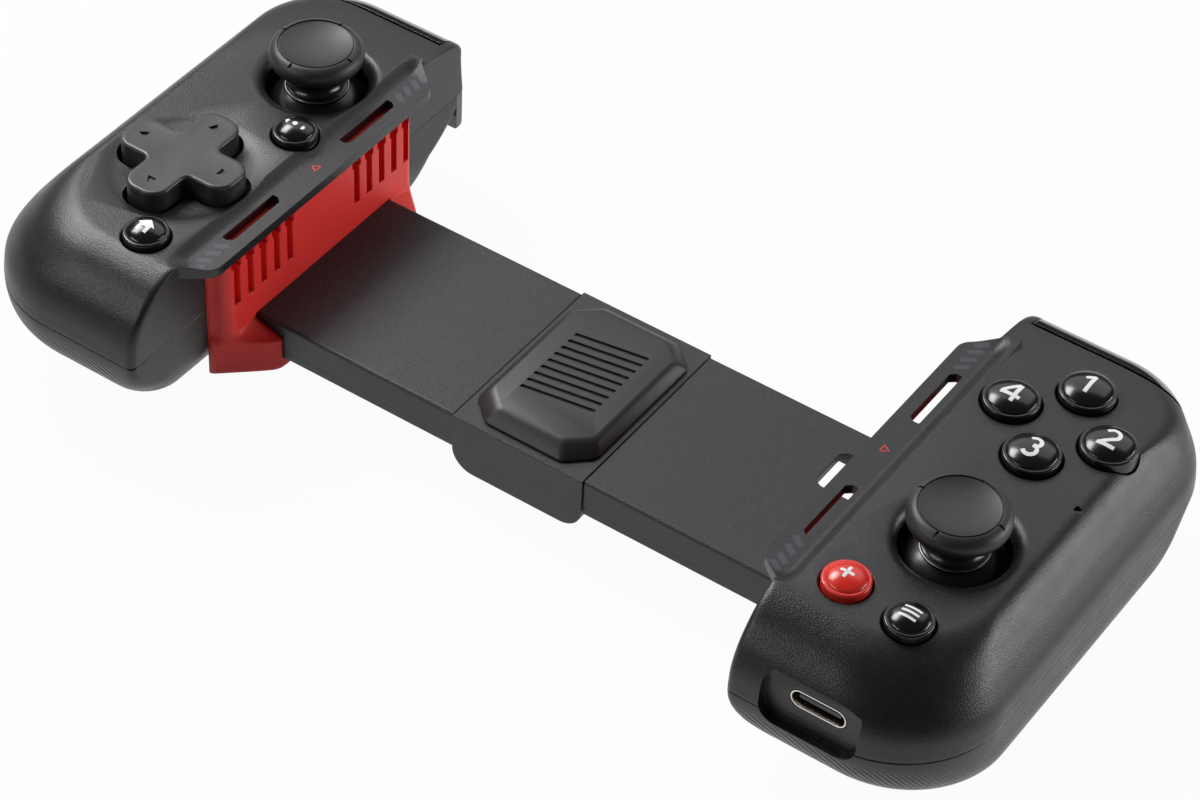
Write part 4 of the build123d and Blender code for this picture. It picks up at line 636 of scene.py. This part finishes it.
for word, side in SIDES:
    keys = [(name, place, small_key_radius) for name, place in small_keys[word].items()]
    keys += [(name, place, face_key_radius) for name, place in face_keys.items()] if side > 0 else []
    for name, place, radius in keys:
        reach = (radius - dome_step) * np.cos(np.linspace(0, np.pi / 2, 22))
        reach[-1] = 0
        profile = np.concatenate([
            [(0, key_bottom), (radius + key_flange, key_bottom), (radius + key_flange, key_flange_top),
             (radius, key_flange_top)],
            arc((radius - collar_round, collar_top - collar_round), collar_round, 0, 90, 7),
            [(radius - dome_step + 0.05, collar_top), (radius - dome_step, collar_top - 0.07)],
            np.column_stack([reach, dome_height(reach, radius)])])
        paint = key_red if name == "link_button" else key_gloss
        cap = mesh_piece(f"{name}_cap", *lathe(profile, place, 72), paint, side, 38)
        put_on(cap, name, "red_key" if name == "link_button" else "gloss", name)

        def over_dome(x, y):
            """Dome height over a place on this key."""
            return dome_height(np.hypot(x - place[0], y - place[1]), radius)

        if name == "view_button":
            parts = []
            for x in dot_places:
                level = over_dome(place[0] + x, place[1])
                dot = [(0, level - 0.2), (dot_radius, level - 0.2), (dot_radius, level + 0.01),
                       (0, level + 0.03)]
                parts.append(lathe(dot, (place[0] + x, place[1]), 20))
        else:
            parts = [ribbon(np.asarray(line) + place, thin_symbols.get(name, symbol_width), over_dome)
                     for line in symbols[name]]
        if name == "home_button":
            parts.append(ribbon(np.asarray(house_roof) + place, roof_widths, over_dome))
        inlay = mesh_piece(f"{name}_symbol", *merged(*parts), symbol_white, side, 40)
        put_on(inlay, name, "light")

# Direction pad: one moulded cross, round at the ends of its arms, with a soft top edge, a slight
# dish and four small arrows cut in; its stem sits in the rocking ring below.
pad_bottom, pad_top, stem_foot = 25.0, 31.8, 22.8
pad_levels = ((25.0, 0.0), (31.3, 0.0), (31.55, -0.05), (31.7, -0.16), (31.78, -0.32), (31.8, -0.5),
              (31.78, -1.0), (31.72, -1.8))
arrow_reach, arrow_size, arrow_depth = 7.5, 0.95, 0.42
pad_plastic = plastic("dull_black", (0.026, 0.0255, 0.027), 0.32, grain=0.012, mottle=0.06, edge=0.1)
loops = np.stack([np.column_stack([cross_outline(grow, 12), np.full(12 * 12, height)])
                  for height, grow in pad_levels])
cross = mesh_piece("direction_pad", *skin_of(loops), pad_plastic, -1)
pad_cuts = [(tool_of(lathe([(0, stem_foot), (1.3, stem_foot), (1.3, pad_bottom + 1), (0, pad_bottom + 1)],
                           dpad_place, 40), -1), "UNION")]
for turn in np.radians((0, 90, 180, 270)):
    corners = np.radians((0, 120, 240)) + turn
    arrow = np.column_stack([dpad_place[0] + arrow_reach * np.cos(turn) + arrow_size * np.cos(corners),
                             dpad_place[1] + arrow_reach * np.sin(turn) + arrow_size * np.sin(corners)])
    pad_cuts.append((tool_of(prism(arrow, pad_top - arrow_depth, pad_top + 1), -1), "DIFFERENCE"))
put_on(carve(cross, pad_cuts, 30), "dpad", "cap", "dpad_cross")

# Thumbsticks: a grained rubber cap with a grooved rim and four notches, on a polished neck that
# flares into a dome; the dome closes the well while the stick tilts.
ball_wall = 1.0
neck_radius, neck_flare, neck_foot, neck_top = 3.7, 1.92, 29.4, 31.6
ring_radius, ring_height, ring_wire = 4.93, 27.45, 0.13
notch_reach, notch_long, notch_wide = 6.65, 0.75, 0.2
rim_reach, rim_middle, rim_round, dish_low = 5.6, 33.5, 1.9, 34.45
cap_rubber = plastic("cap_rubber", (0.016, 0.016, 0.017), 0.46, grain=0.02, mottle=0.07, edge=0.08)
neck_gloss = plastic("polished_neck", (0.006, 0.006, 0.0065), 0.26, mottle=0.04, coat=0.0)
# The thin ring on the neck's edge is real geometry, but its light grey metal colour is a painted highlight:
# it stands in for the light that the edge catches.
highlight_ring_metal = plastic("painted_highlight_ring", (0.3, 0.3, 0.31), 0.35, mottle=0.02, metal=1.0)
for word, side in SIDES:
    place = stick_place[word]
    profile = np.concatenate([
        arc((0, stick_pivot), ball_radius, 18, 60.3, 22), [(4.95, 27.5)],
        arc((neck_radius + neck_flare, neck_foot), neck_flare, 246, 180, 12),
        [(neck_radius, neck_top), (1.58, neck_top)],
        arc((0, stick_pivot), ball_radius - ball_wall, 79.9, 18, 18)])
    neck = mesh_piece(f"{word}_stick_dome", *lathe(profile, place, 96), neck_gloss, side, 45)
    put_on(neck, f"{word}_stick", "gloss", f"{word}_stick_neck")
    # Ring on the edge of the neck: a real edge, coloured light grey metal as a painted highlight.
    hoop = lathe(arc((ring_radius, ring_height), ring_wire, 0, 330, 12), place, 96)
    ring = mesh_piece(f"{word}_stick_ring", *hoop, highlight_ring_metal, side)
    put_on(ring, f"{word}_stick", "steel")
    reach = np.linspace(5.66, 0, 20)
    profile = np.concatenate([
        [(0, neck_top), (rim_reach - 0.4, neck_top)], arc((rim_reach, rim_middle), rim_round, -90, 73, 26),
        [(6.06, 35.33), (6.03, 35.1), (5.74, 35.08), (5.71, 35.26)],
        np.column_stack([reach, dish_low + 0.8 * (reach / 5.7) ** 2.4])])
    cap = mesh_piece(f"{word}_stick_top", *lathe(profile, place, 96), cap_rubber, side)
    notches = []
    for dx, dy in ((1, 0), (0, 1), (-1, 0), (0, -1)):
        x, y = place[0] + dx * notch_reach, place[1] + dy * notch_reach
        half_x, half_y = (notch_long, notch_wide) if dx else (notch_wide, notch_long)
        notches.append(box(x - half_x, x + half_x, y - half_y, y + half_y, 34.8, 36))
    carve(cap, [(tool_of(notch, side), "DIFFERENCE") for notch in notches], 34)
    put_on(cap, f"{word}_stick", "cap", f"{word}_stick_cap")

# Shoulder keys: the bumper is the glossy slice of the upper case behind its front wall, and the
# trigger a glossy paddle below it that turns on a steel pin with a small coil spring.
bumper_span, bumper_start, bumper_foot = (54.2, 79.5), 37.2, 17.6
trigger_span, trigger_axis, trigger_wall = (52.7, 78.6), (38.0, 13.6), 1.8
paddle_rows = ((9.0, 0.9), (9.08, 0.55), (9.35, 0.2), (9.8, 0.0), (15.6, 0.0), (15.9, 0.25))
barrel_span, barrel_radius, pin_room = (56.9, 66.4), 2.1, 0.8
spring_span, coil_radius, wire_radius, coil_turns = (66.8, 70.6), 1.12, 0.16, 6.5
key_black = plastic("polished_shoulder", (0.008, 0.008, 0.009), 0.14, mottle=0.05, coat=0.6, edge=0.3)
spring_steel = plastic("drawn_wire", (0.5, 0.5, 0.52), 0.3, mottle=0.04, metal=1.0)


def coil(x0, x1, y, z, radius, wire, turns, steps=18, count=8):
    """Wire of a coil spring: a circle carried along a helix about the x direction."""
    share = np.linspace(0, 1, int(turns * steps) + 1)
    angle = 2 * np.pi * turns * share
    out = np.stack([np.zeros_like(share), np.cos(angle), np.sin(angle)], 1)
    centre = np.stack([x0 + (x1 - x0) * share, np.full_like(share, y), np.full_like(share, z)], 1)
    path = out * radius + centre
    along = np.gradient(path, axis=0)
    along /= np.linalg.norm(along, axis=1)[:, None]
    third = np.cross(along, out)
    turn = np.linspace(0, 2 * np.pi, count, endpoint=False)
    rings = path[:, None] + wire * (np.cos(turn)[None, :, None] * out[:, None]
                                    + np.sin(turn)[None, :, None] * third[:, None])
    return skin_of(rings)


def plan_rings(rows):
    """The grip's outline at its widest, drawn in evenly by an amount at each (height, amount)."""
    height, inset = np.array(rows).T
    small = np.maximum(corner_near - inset, 0.2)
    return rounded_loops(
        (grip_inner_x + inset, grip_inner_x + inset, inset - grip_half_length),
        (grip_outer_x - inset, grip_half_length - inset),
        (small, corner_front - inset, corner_back - inset, small), (7, 34, 34, 7, 26, 60), height)


for word, side in SIDES:
    key = mesh_piece(f"{word}_bumper_key", *skin_of(upper_rings(0.0, 0.0)), key_black, side)
    slice_of = box(*bumper_span, bumper_start, past_back, bumper_foot, past_top)
    carve(key, [(tool_of(slice_of, side), "INTERSECT")])
    put_on(key, f"{word}_bumper", "gloss", f"{word}_bumper")
    paddle = mesh_piece(f"{word}_trigger_paddle", *skin_of(plan_rings(paddle_rows)), key_black, side)
    back = skin_of(plan_rings(((8.0, trigger_wall), (17.0, trigger_wall))))
    web = box(*barrel_span, trigger_axis[0], 40.6, trigger_axis[1] - barrel_radius, trigger_axis[1] + 1.05)
    carve(paddle, [(tool_of(back, side), "DIFFERENCE"),
                   (tool_of(box(*trigger_span, trigger_axis[0], past_back, 8.5, 16.5), side), "INTERSECT"),
                   (tool_of(box(50, 54.4, 37, 41.5 - trigger_wall, 8, 17), side), "DIFFERENCE"),
                   (tool_of(rod(*trigger_axis, barrel_radius, *barrel_span), side), "UNION"),
                   (tool_of(web, side), "UNION"),
                   (tool_of(rod(*trigger_axis, pin_room, 50, 82), side), "DIFFERENCE")])
    put_on(paddle, f"{word}_trigger", "gloss", f"{word}_trigger")
    wire = coil(*spring_span, *trigger_axis, coil_radius, wire_radius, coil_turns)
    spring = mesh_piece(f"{word}_trigger_coil", *wire, spring_steel, side)
    put_on(spring, f"{word}_grip", "steel", f"{word}_trigger_spring")

# Charging socket: a drawn steel shell with rounded lips and a dark tongue, seen through the slot
# in the floor of its recess.
socket_steel = plastic("plated_shell", (0.66, 0.6, 0.54), 0.2, mottle=0.03, metal=1.0)
tongue_black = plastic("socket_tongue", (0.02, 0.02, 0.021), 0.35, mottle=0.05)
lips = [(8.94, 3.26, 32.5), (8.94, 3.26, 39.66), (8.86, 3.18, 39.8), (8.44, 2.76, 39.8), (8.34, 2.66, 39.7),
        (8.34, 2.66, 34.0)]
rings = np.stack([np.column_stack([stadium(w, h), np.full(48, depth)]) for w, h, depth in lips])
socket = mesh_piece("socket_shell", *to_front(skin_of(rings)), socket_steel, 1, 40)
put_on(socket, "right_grip", "steel", "usb_port")
blade = rounded_polygon([(port_place[0] + x, port_place[1] + y) for x, y in
                         ((-3.35, -0.35), (3.35, -0.35), (3.35, 0.35), (-3.35, 0.35))], 0.3, 5)
tongue = mesh_piece("socket_tongue", *to_front(prism(blade, 33.5, 39.2)), tongue_black, 1, 40)
put_on(tongue, "right_grip", "inner")

# Cradles: one piece of red silicone at each end of the phone. The wall has two groups of slots,
# the toe below flares out to clasp the sliding plate, and a tongue is caught in the seam.
cradle_wall_x, cradle_back_x, cradle_foot, cradle_tops = 48.8, 52.3, 3.2, {"left": 26.2, "right": 20.0}
toe_x, toe_half, toe_slope, toe_top = 43.5, 17.6, 1.13, (9.3, 11.4)
slot_first, slot_pitch, slot_count, slot_width, slot_depth = 8.3, 3.15, 5, 1.35, 2.4
slot_heights, notch_depth, notch_width = (16.8, 24.0), 1.0, 2.1
cradle_red = plastic("red_silicone", (0.84, 0.03, 0.022), 0.5, grain=0.012, mottle=0.05, edge=0.35)
for word, side in SIDES:
    share, along = np.meshgrid(np.linspace(0, 1, 72), np.sin(np.linspace(-1, 1, 150) * np.pi / 2) * 24.2,
                               indexing="ij")
    post = cradle_tops["left"] - cradle_tops[word]
    top = cradle_tops[word] + post * smooth_step((-20.5 - along) / 1.0)
    height = cradle_foot + (top - cradle_foot) * share
    away = np.abs(along)
    ease = np.clip((away - 21.0) / 2.4, 0, 1)
    wall = cradle_wall_x + 2.4 * (1 - np.sqrt(1 - ease ** 2)) + np.clip(away - 23.4, 0, 1) * 2.0
    past = away - toe_half
    toe = toe_x + toe_slope * (past + np.sqrt(past ** 2 + 0.8)) / 2
    low = np.minimum(toe, wall)
    front = low + (wall - low) * smooth_step((height - toe_top[0]) / (toe_top[1] - toe_top[0]))
    lip = np.clip((height - top + 0.8) / 0.8, 0, 1)
    sole = np.clip((cradle_foot + 0.9 - height) / 0.9, 0, 1)
    front = np.minimum(front + 0.8 * (1 - np.sqrt(1 - lip ** 2)) + 0.9 * (1 - np.sqrt(1 - sole ** 2)),
                       cradle_back_x - 0.05)
    back = np.full_like(front, cradle_back_x)
    slab = block_between(np.stack([front, along, height], 2), np.stack([back, along, height], 2))
    stop = mesh_piece(f"{word}_phone_cradle", *slab, cradle_red, side)
    cuts = [box(40, 51.3, -16.85, 16.85, 5.5, 12.0), box(40, 47.9, -15.3, 15.3, 2.2, 5.6)]
    if side > 0:
        cuts.append(box(46.8, 51.3, -1.5, 11.5, 12.9, 26.2))
    for end in (-1, 1):
        for number in range(slot_count):
            y = end * (slot_first + slot_pitch * number)
            cuts.append(box(46, cradle_wall_x + slot_depth, y - slot_width / 2, y + slot_width / 2,
                            *slot_heights))
            cuts.append(box(46, cradle_wall_x + notch_depth, y - notch_width / 2, y + notch_width / 2,
                            slot_heights[1] - 0.01, 28))
    changes = [(tool_of(cut, side), "DIFFERENCE") for cut in cuts]
    changes.append((tool_of(box(52.2, 54.7, -18, 18, 14.2, 18.2), side), "UNION"))
    put_on(carve(stop, changes, 30), f"{word}_grip", "red_rubber", f"{word}_cradle")

# Pad under the phone's back: an eight-sided block of soft rubber with wide sloping sides and
# slanted grooves moulded into its top.
pad_corners = ((-6.8, -15.6), (6.8, -15.6), (10.8, -12.0), (10.8, 12.0), (6.8, 15.6), (-6.8, 15.6),
               (-10.8, 12.0), (-10.8, -12.0))
pad_rows = ((12.1, 1.0), (12.5, 1.0), (12.7, 0.99), (14.0, 0.9), (14.35, 0.86), (14.5, 0.83))
groove_count, groove_pitch, groove_width, groove_lean, groove_half = 9, 1.75, 0.6, 1.0, 6.0
soft_rubber = plastic("pad_rubber", (0.013, 0.013, 0.014), 0.42, grain=0.015, mottle=0.06, edge=0.2)
rows = np.stack([
    np.column_stack([rounded_polygon(np.array(pad_corners) * share, 2.0, 6), np.full(48, height)])
    for height, share in pad_rows])
pad = mesh_piece("phone_rest", *skin_of(rows), soft_rubber)
grooves = []
for number in range(groove_count):
    y = (number - (groove_count - 1) / 2) * groove_pitch
    grooves.append(prism([(-groove_half, y - groove_lean), (groove_half, y + groove_lean),
                          (groove_half, y + groove_lean + groove_width),
                          (-groove_half, y - groove_lean + groove_width)], 14.15, 15.5))
carve(pad, [(tool_of(groove, 1), "DIFFERENCE") for groove in grooves], 20)
put_on(pad, "middle", "pad", "phone_pad")

# Return springs: long wire coils in the plates that draw the two grips together. Each runs
# between the middle block and its grip.
return_span, return_y, return_z = (11.8, 42.9), 3.0, 8.75
for word, side in SIDES:
    wire = coil(*return_span, -side * return_y, return_z, 1.22, 0.22, 26)
    spring = mesh_piece(f"{word}_return_coil", *wire, spring_steel, side)
    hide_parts(f"{word}_return_spring")
    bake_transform(spring)

# Everything that the CAD already shows as it is keeps its mesh and gets a moulded, turned or
# plated finish of its own, worked out from the record's material slots.
finishes = {
    "shell": shell_plastic,
    "gloss": plastic("polished_black", (0.008, 0.008, 0.009), 0.12, mottle=0.05, coat=0.6, edge=0.1),
    "red_key": plastic("polished_red", (0.62, 0.02, 0.016), 0.14, mottle=0.03, coat=0.6, edge=0.1),
    "red_rubber": plastic("red_rubber", (0.6, 0.022, 0.018), 0.42, grain=0.01, mottle=0.04, edge=0.25),
    "plate": plastic("grained_plate", (0.017, 0.0168, 0.021), 0.38, grain=0.05, grain_scale=4300.0,
                     mottle=0.32, edge=0.3, specular=0.42),
    "pad": plastic("pad_rubber", (0.03, 0.03, 0.034), 0.5, grain=0.012, mottle=0.05, edge=0.2),
    "cap": plastic("matte_rubber", (0.03, 0.03, 0.033), 0.5, grain=0.012, mottle=0.06, edge=0.1),
    "steel": plastic("bright_steel", (0.6, 0.6, 0.62), 0.28, mottle=0.03, metal=1.0),
    "brass": plastic("turned_brass", (0.72, 0.52, 0.22), 0.3, mottle=0.04, metal=1.0),
    "board": plastic("solder_mask", (0.01, 0.09, 0.035), 0.35, mottle=0.08),
    "mat": plastic("pale_silicone", (0.45, 0.45, 0.46), 0.55, mottle=0.03),
    "cell": plastic("foil_pouch", (0.3, 0.34, 0.4), 0.35, mottle=0.05),
    "inner": plastic("inner_plastic", (0.06, 0.06, 0.065), 0.5, mottle=0.06),
    "light": plastic("light_guide", (0.02, 0.02, 0.022), 0.2, mottle=0.02),
}
for row in frame["record"]["subparts"]:
    skin = nodes[row["node"]].data
    skin.materials.clear()
    skin.materials.append(finishes[row["material_slot"]])

# Studio: a pale floor, soft lamps overhead and at both sides, and the photograph's own viewpoint.
floor_half, floor_z = 1.6, -0.0004
azimuth, elevation, roll = (np.radians(a) for a in (32.727, 43.582, 2.967))
camera_lens, camera_distance, camera_offset, frame_rise = 112.72, 0.56109, (0.002512, -0.002183), 0.012
floor = mesh_piece("floor", np.array([(-1, -1, 0), (1, -1, 0), (1, 1, 0), (-1, 1, 0)]) * floor_half / MM
                   + np.array([0, 0, floor_z / MM]), [[0, 1, 2, 3]])
floor_paint = bpy.data.materials.new("pale_floor")
floor_paint.use_nodes = True
tree = floor_paint.node_tree
matte = tree.nodes["Principled BSDF"]
matte.inputs["Base Color"].default_value = (0.62, 0.62, 0.62, 1)
matte.inputs["Roughness"].default_value = 0.9
glow = tree.nodes.new("ShaderNodeEmission")
glow.inputs["Strength"].default_value = 1.0
path = tree.nodes.new("ShaderNodeLightPath")
seen = tree.nodes.new("ShaderNodeMath")
seen.operation = "MAXIMUM"
tree.links.new(path.outputs["Is Camera Ray"], seen.inputs[0])
tree.links.new(path.outputs["Is Transmission Ray"], seen.inputs[1])
mirrored_floor = tree.nodes.new("ShaderNodeMath")
mirrored_floor.operation = "MAXIMUM"
tree.links.new(seen.outputs[0], mirrored_floor.inputs[0])
tree.links.new(path.outputs["Is Glossy Ray"], mirrored_floor.inputs[1])
part = tree.nodes.new("ShaderNodeMath")
part.operation = "MULTIPLY"
part.inputs[1].default_value = 0.96
tree.links.new(mirrored_floor.outputs[0], part.inputs[0])
blend = tree.nodes.new("ShaderNodeMixShader")
tree.links.new(part.outputs[0], blend.inputs[0])
tree.links.new(matte.outputs[0], blend.inputs[1])
tree.links.new(glow.outputs[0], blend.inputs[2])
tree.links.new(blend.outputs[0], tree.nodes["Material Output"].inputs["Surface"])
floor.data.materials.append(floor_paint)
floor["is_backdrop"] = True

world = bpy.data.worlds.new("studio")
world.use_nodes = True
world.node_tree.nodes["Background"].inputs["Color"].default_value = (1, 1, 1, 1)
world.node_tree.nodes["Background"].inputs["Strength"].default_value = 0.05
bpy.context.scene.world = world


def soft_lamp(name, place, target, size, power):
    """Square area lamp that looks at a point, in metres and watts."""
    light = bpy.data.lights.new(name, "AREA")
    light.shape = "RECTANGLE"
    light.size, light.size_y = size
    light.energy = power
    lamp = bpy.data.objects.new(name, light)
    bpy.context.scene.collection.objects.link(lamp)
    back = np.array(place, float) - np.array(target, float)
    back /= np.linalg.norm(back)
    right = np.cross((0, 0, 1), back) if abs(back[2]) < 0.999 else np.array([1.0, 0, 0])
    right /= np.linalg.norm(right)
    matrix = np.eye(4)
    matrix[:3, 0], matrix[:3, 1], matrix[:3, 2], matrix[:3, 3] = right, np.cross(back, right), back, place
    lamp.matrix_world = Matrix(matrix.tolist())
    return lamp


soft_lamp("overhead", (-0.50, 0.10, 0.56), (0, 0, 0.01), (0.34, 0.26), 4.6)
soft_lamp("front", (-0.40, -0.56, 0.46), (0, 0, 0.01), (0.5, 0.12), 1.5)
soft_lamp("right", (0.62, 0.40, 0.16), (-0.04, 0, 0.01), (0.5, 0.16), 2.8)
soft_lamp("back", (-0.30, 0.66, 0.72), (0, 0, 0.01), (1.6, 0.9), 6.0)

lens = bpy.data.cameras.new("photo_camera")
lens.sensor_width, lens.lens = 36.0, camera_lens
lens.clip_start, lens.clip_end = 0.01, 20.0
camera = bpy.data.objects.new("photo_camera", lens)
bpy.context.scene.collection.objects.link(camera)
view = np.array([-np.sin(azimuth) * np.cos(elevation), np.cos(azimuth) * np.cos(elevation),
                 -np.sin(elevation)])
right = np.array([np.cos(azimuth), np.sin(azimuth), 0])
up = np.cross(right, view)
right, up = np.cos(roll) * right + np.sin(roll) * up, -np.sin(roll) * right + np.cos(roll) * up
eye = right * camera_offset[0] + up * camera_offset[1] - view * camera_distance + np.array([0, 0, frame_rise])
matrix = np.eye(4)
matrix[:3, 0], matrix[:3, 1], matrix[:3, 2], matrix[:3, 3] = right, up, -view, eye
camera.matrix_world = Matrix(matrix.tolist())
bpy.context.scene.camera = camera
bpy.context.scene.view_settings.view_transform = "Standard"

low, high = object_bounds()
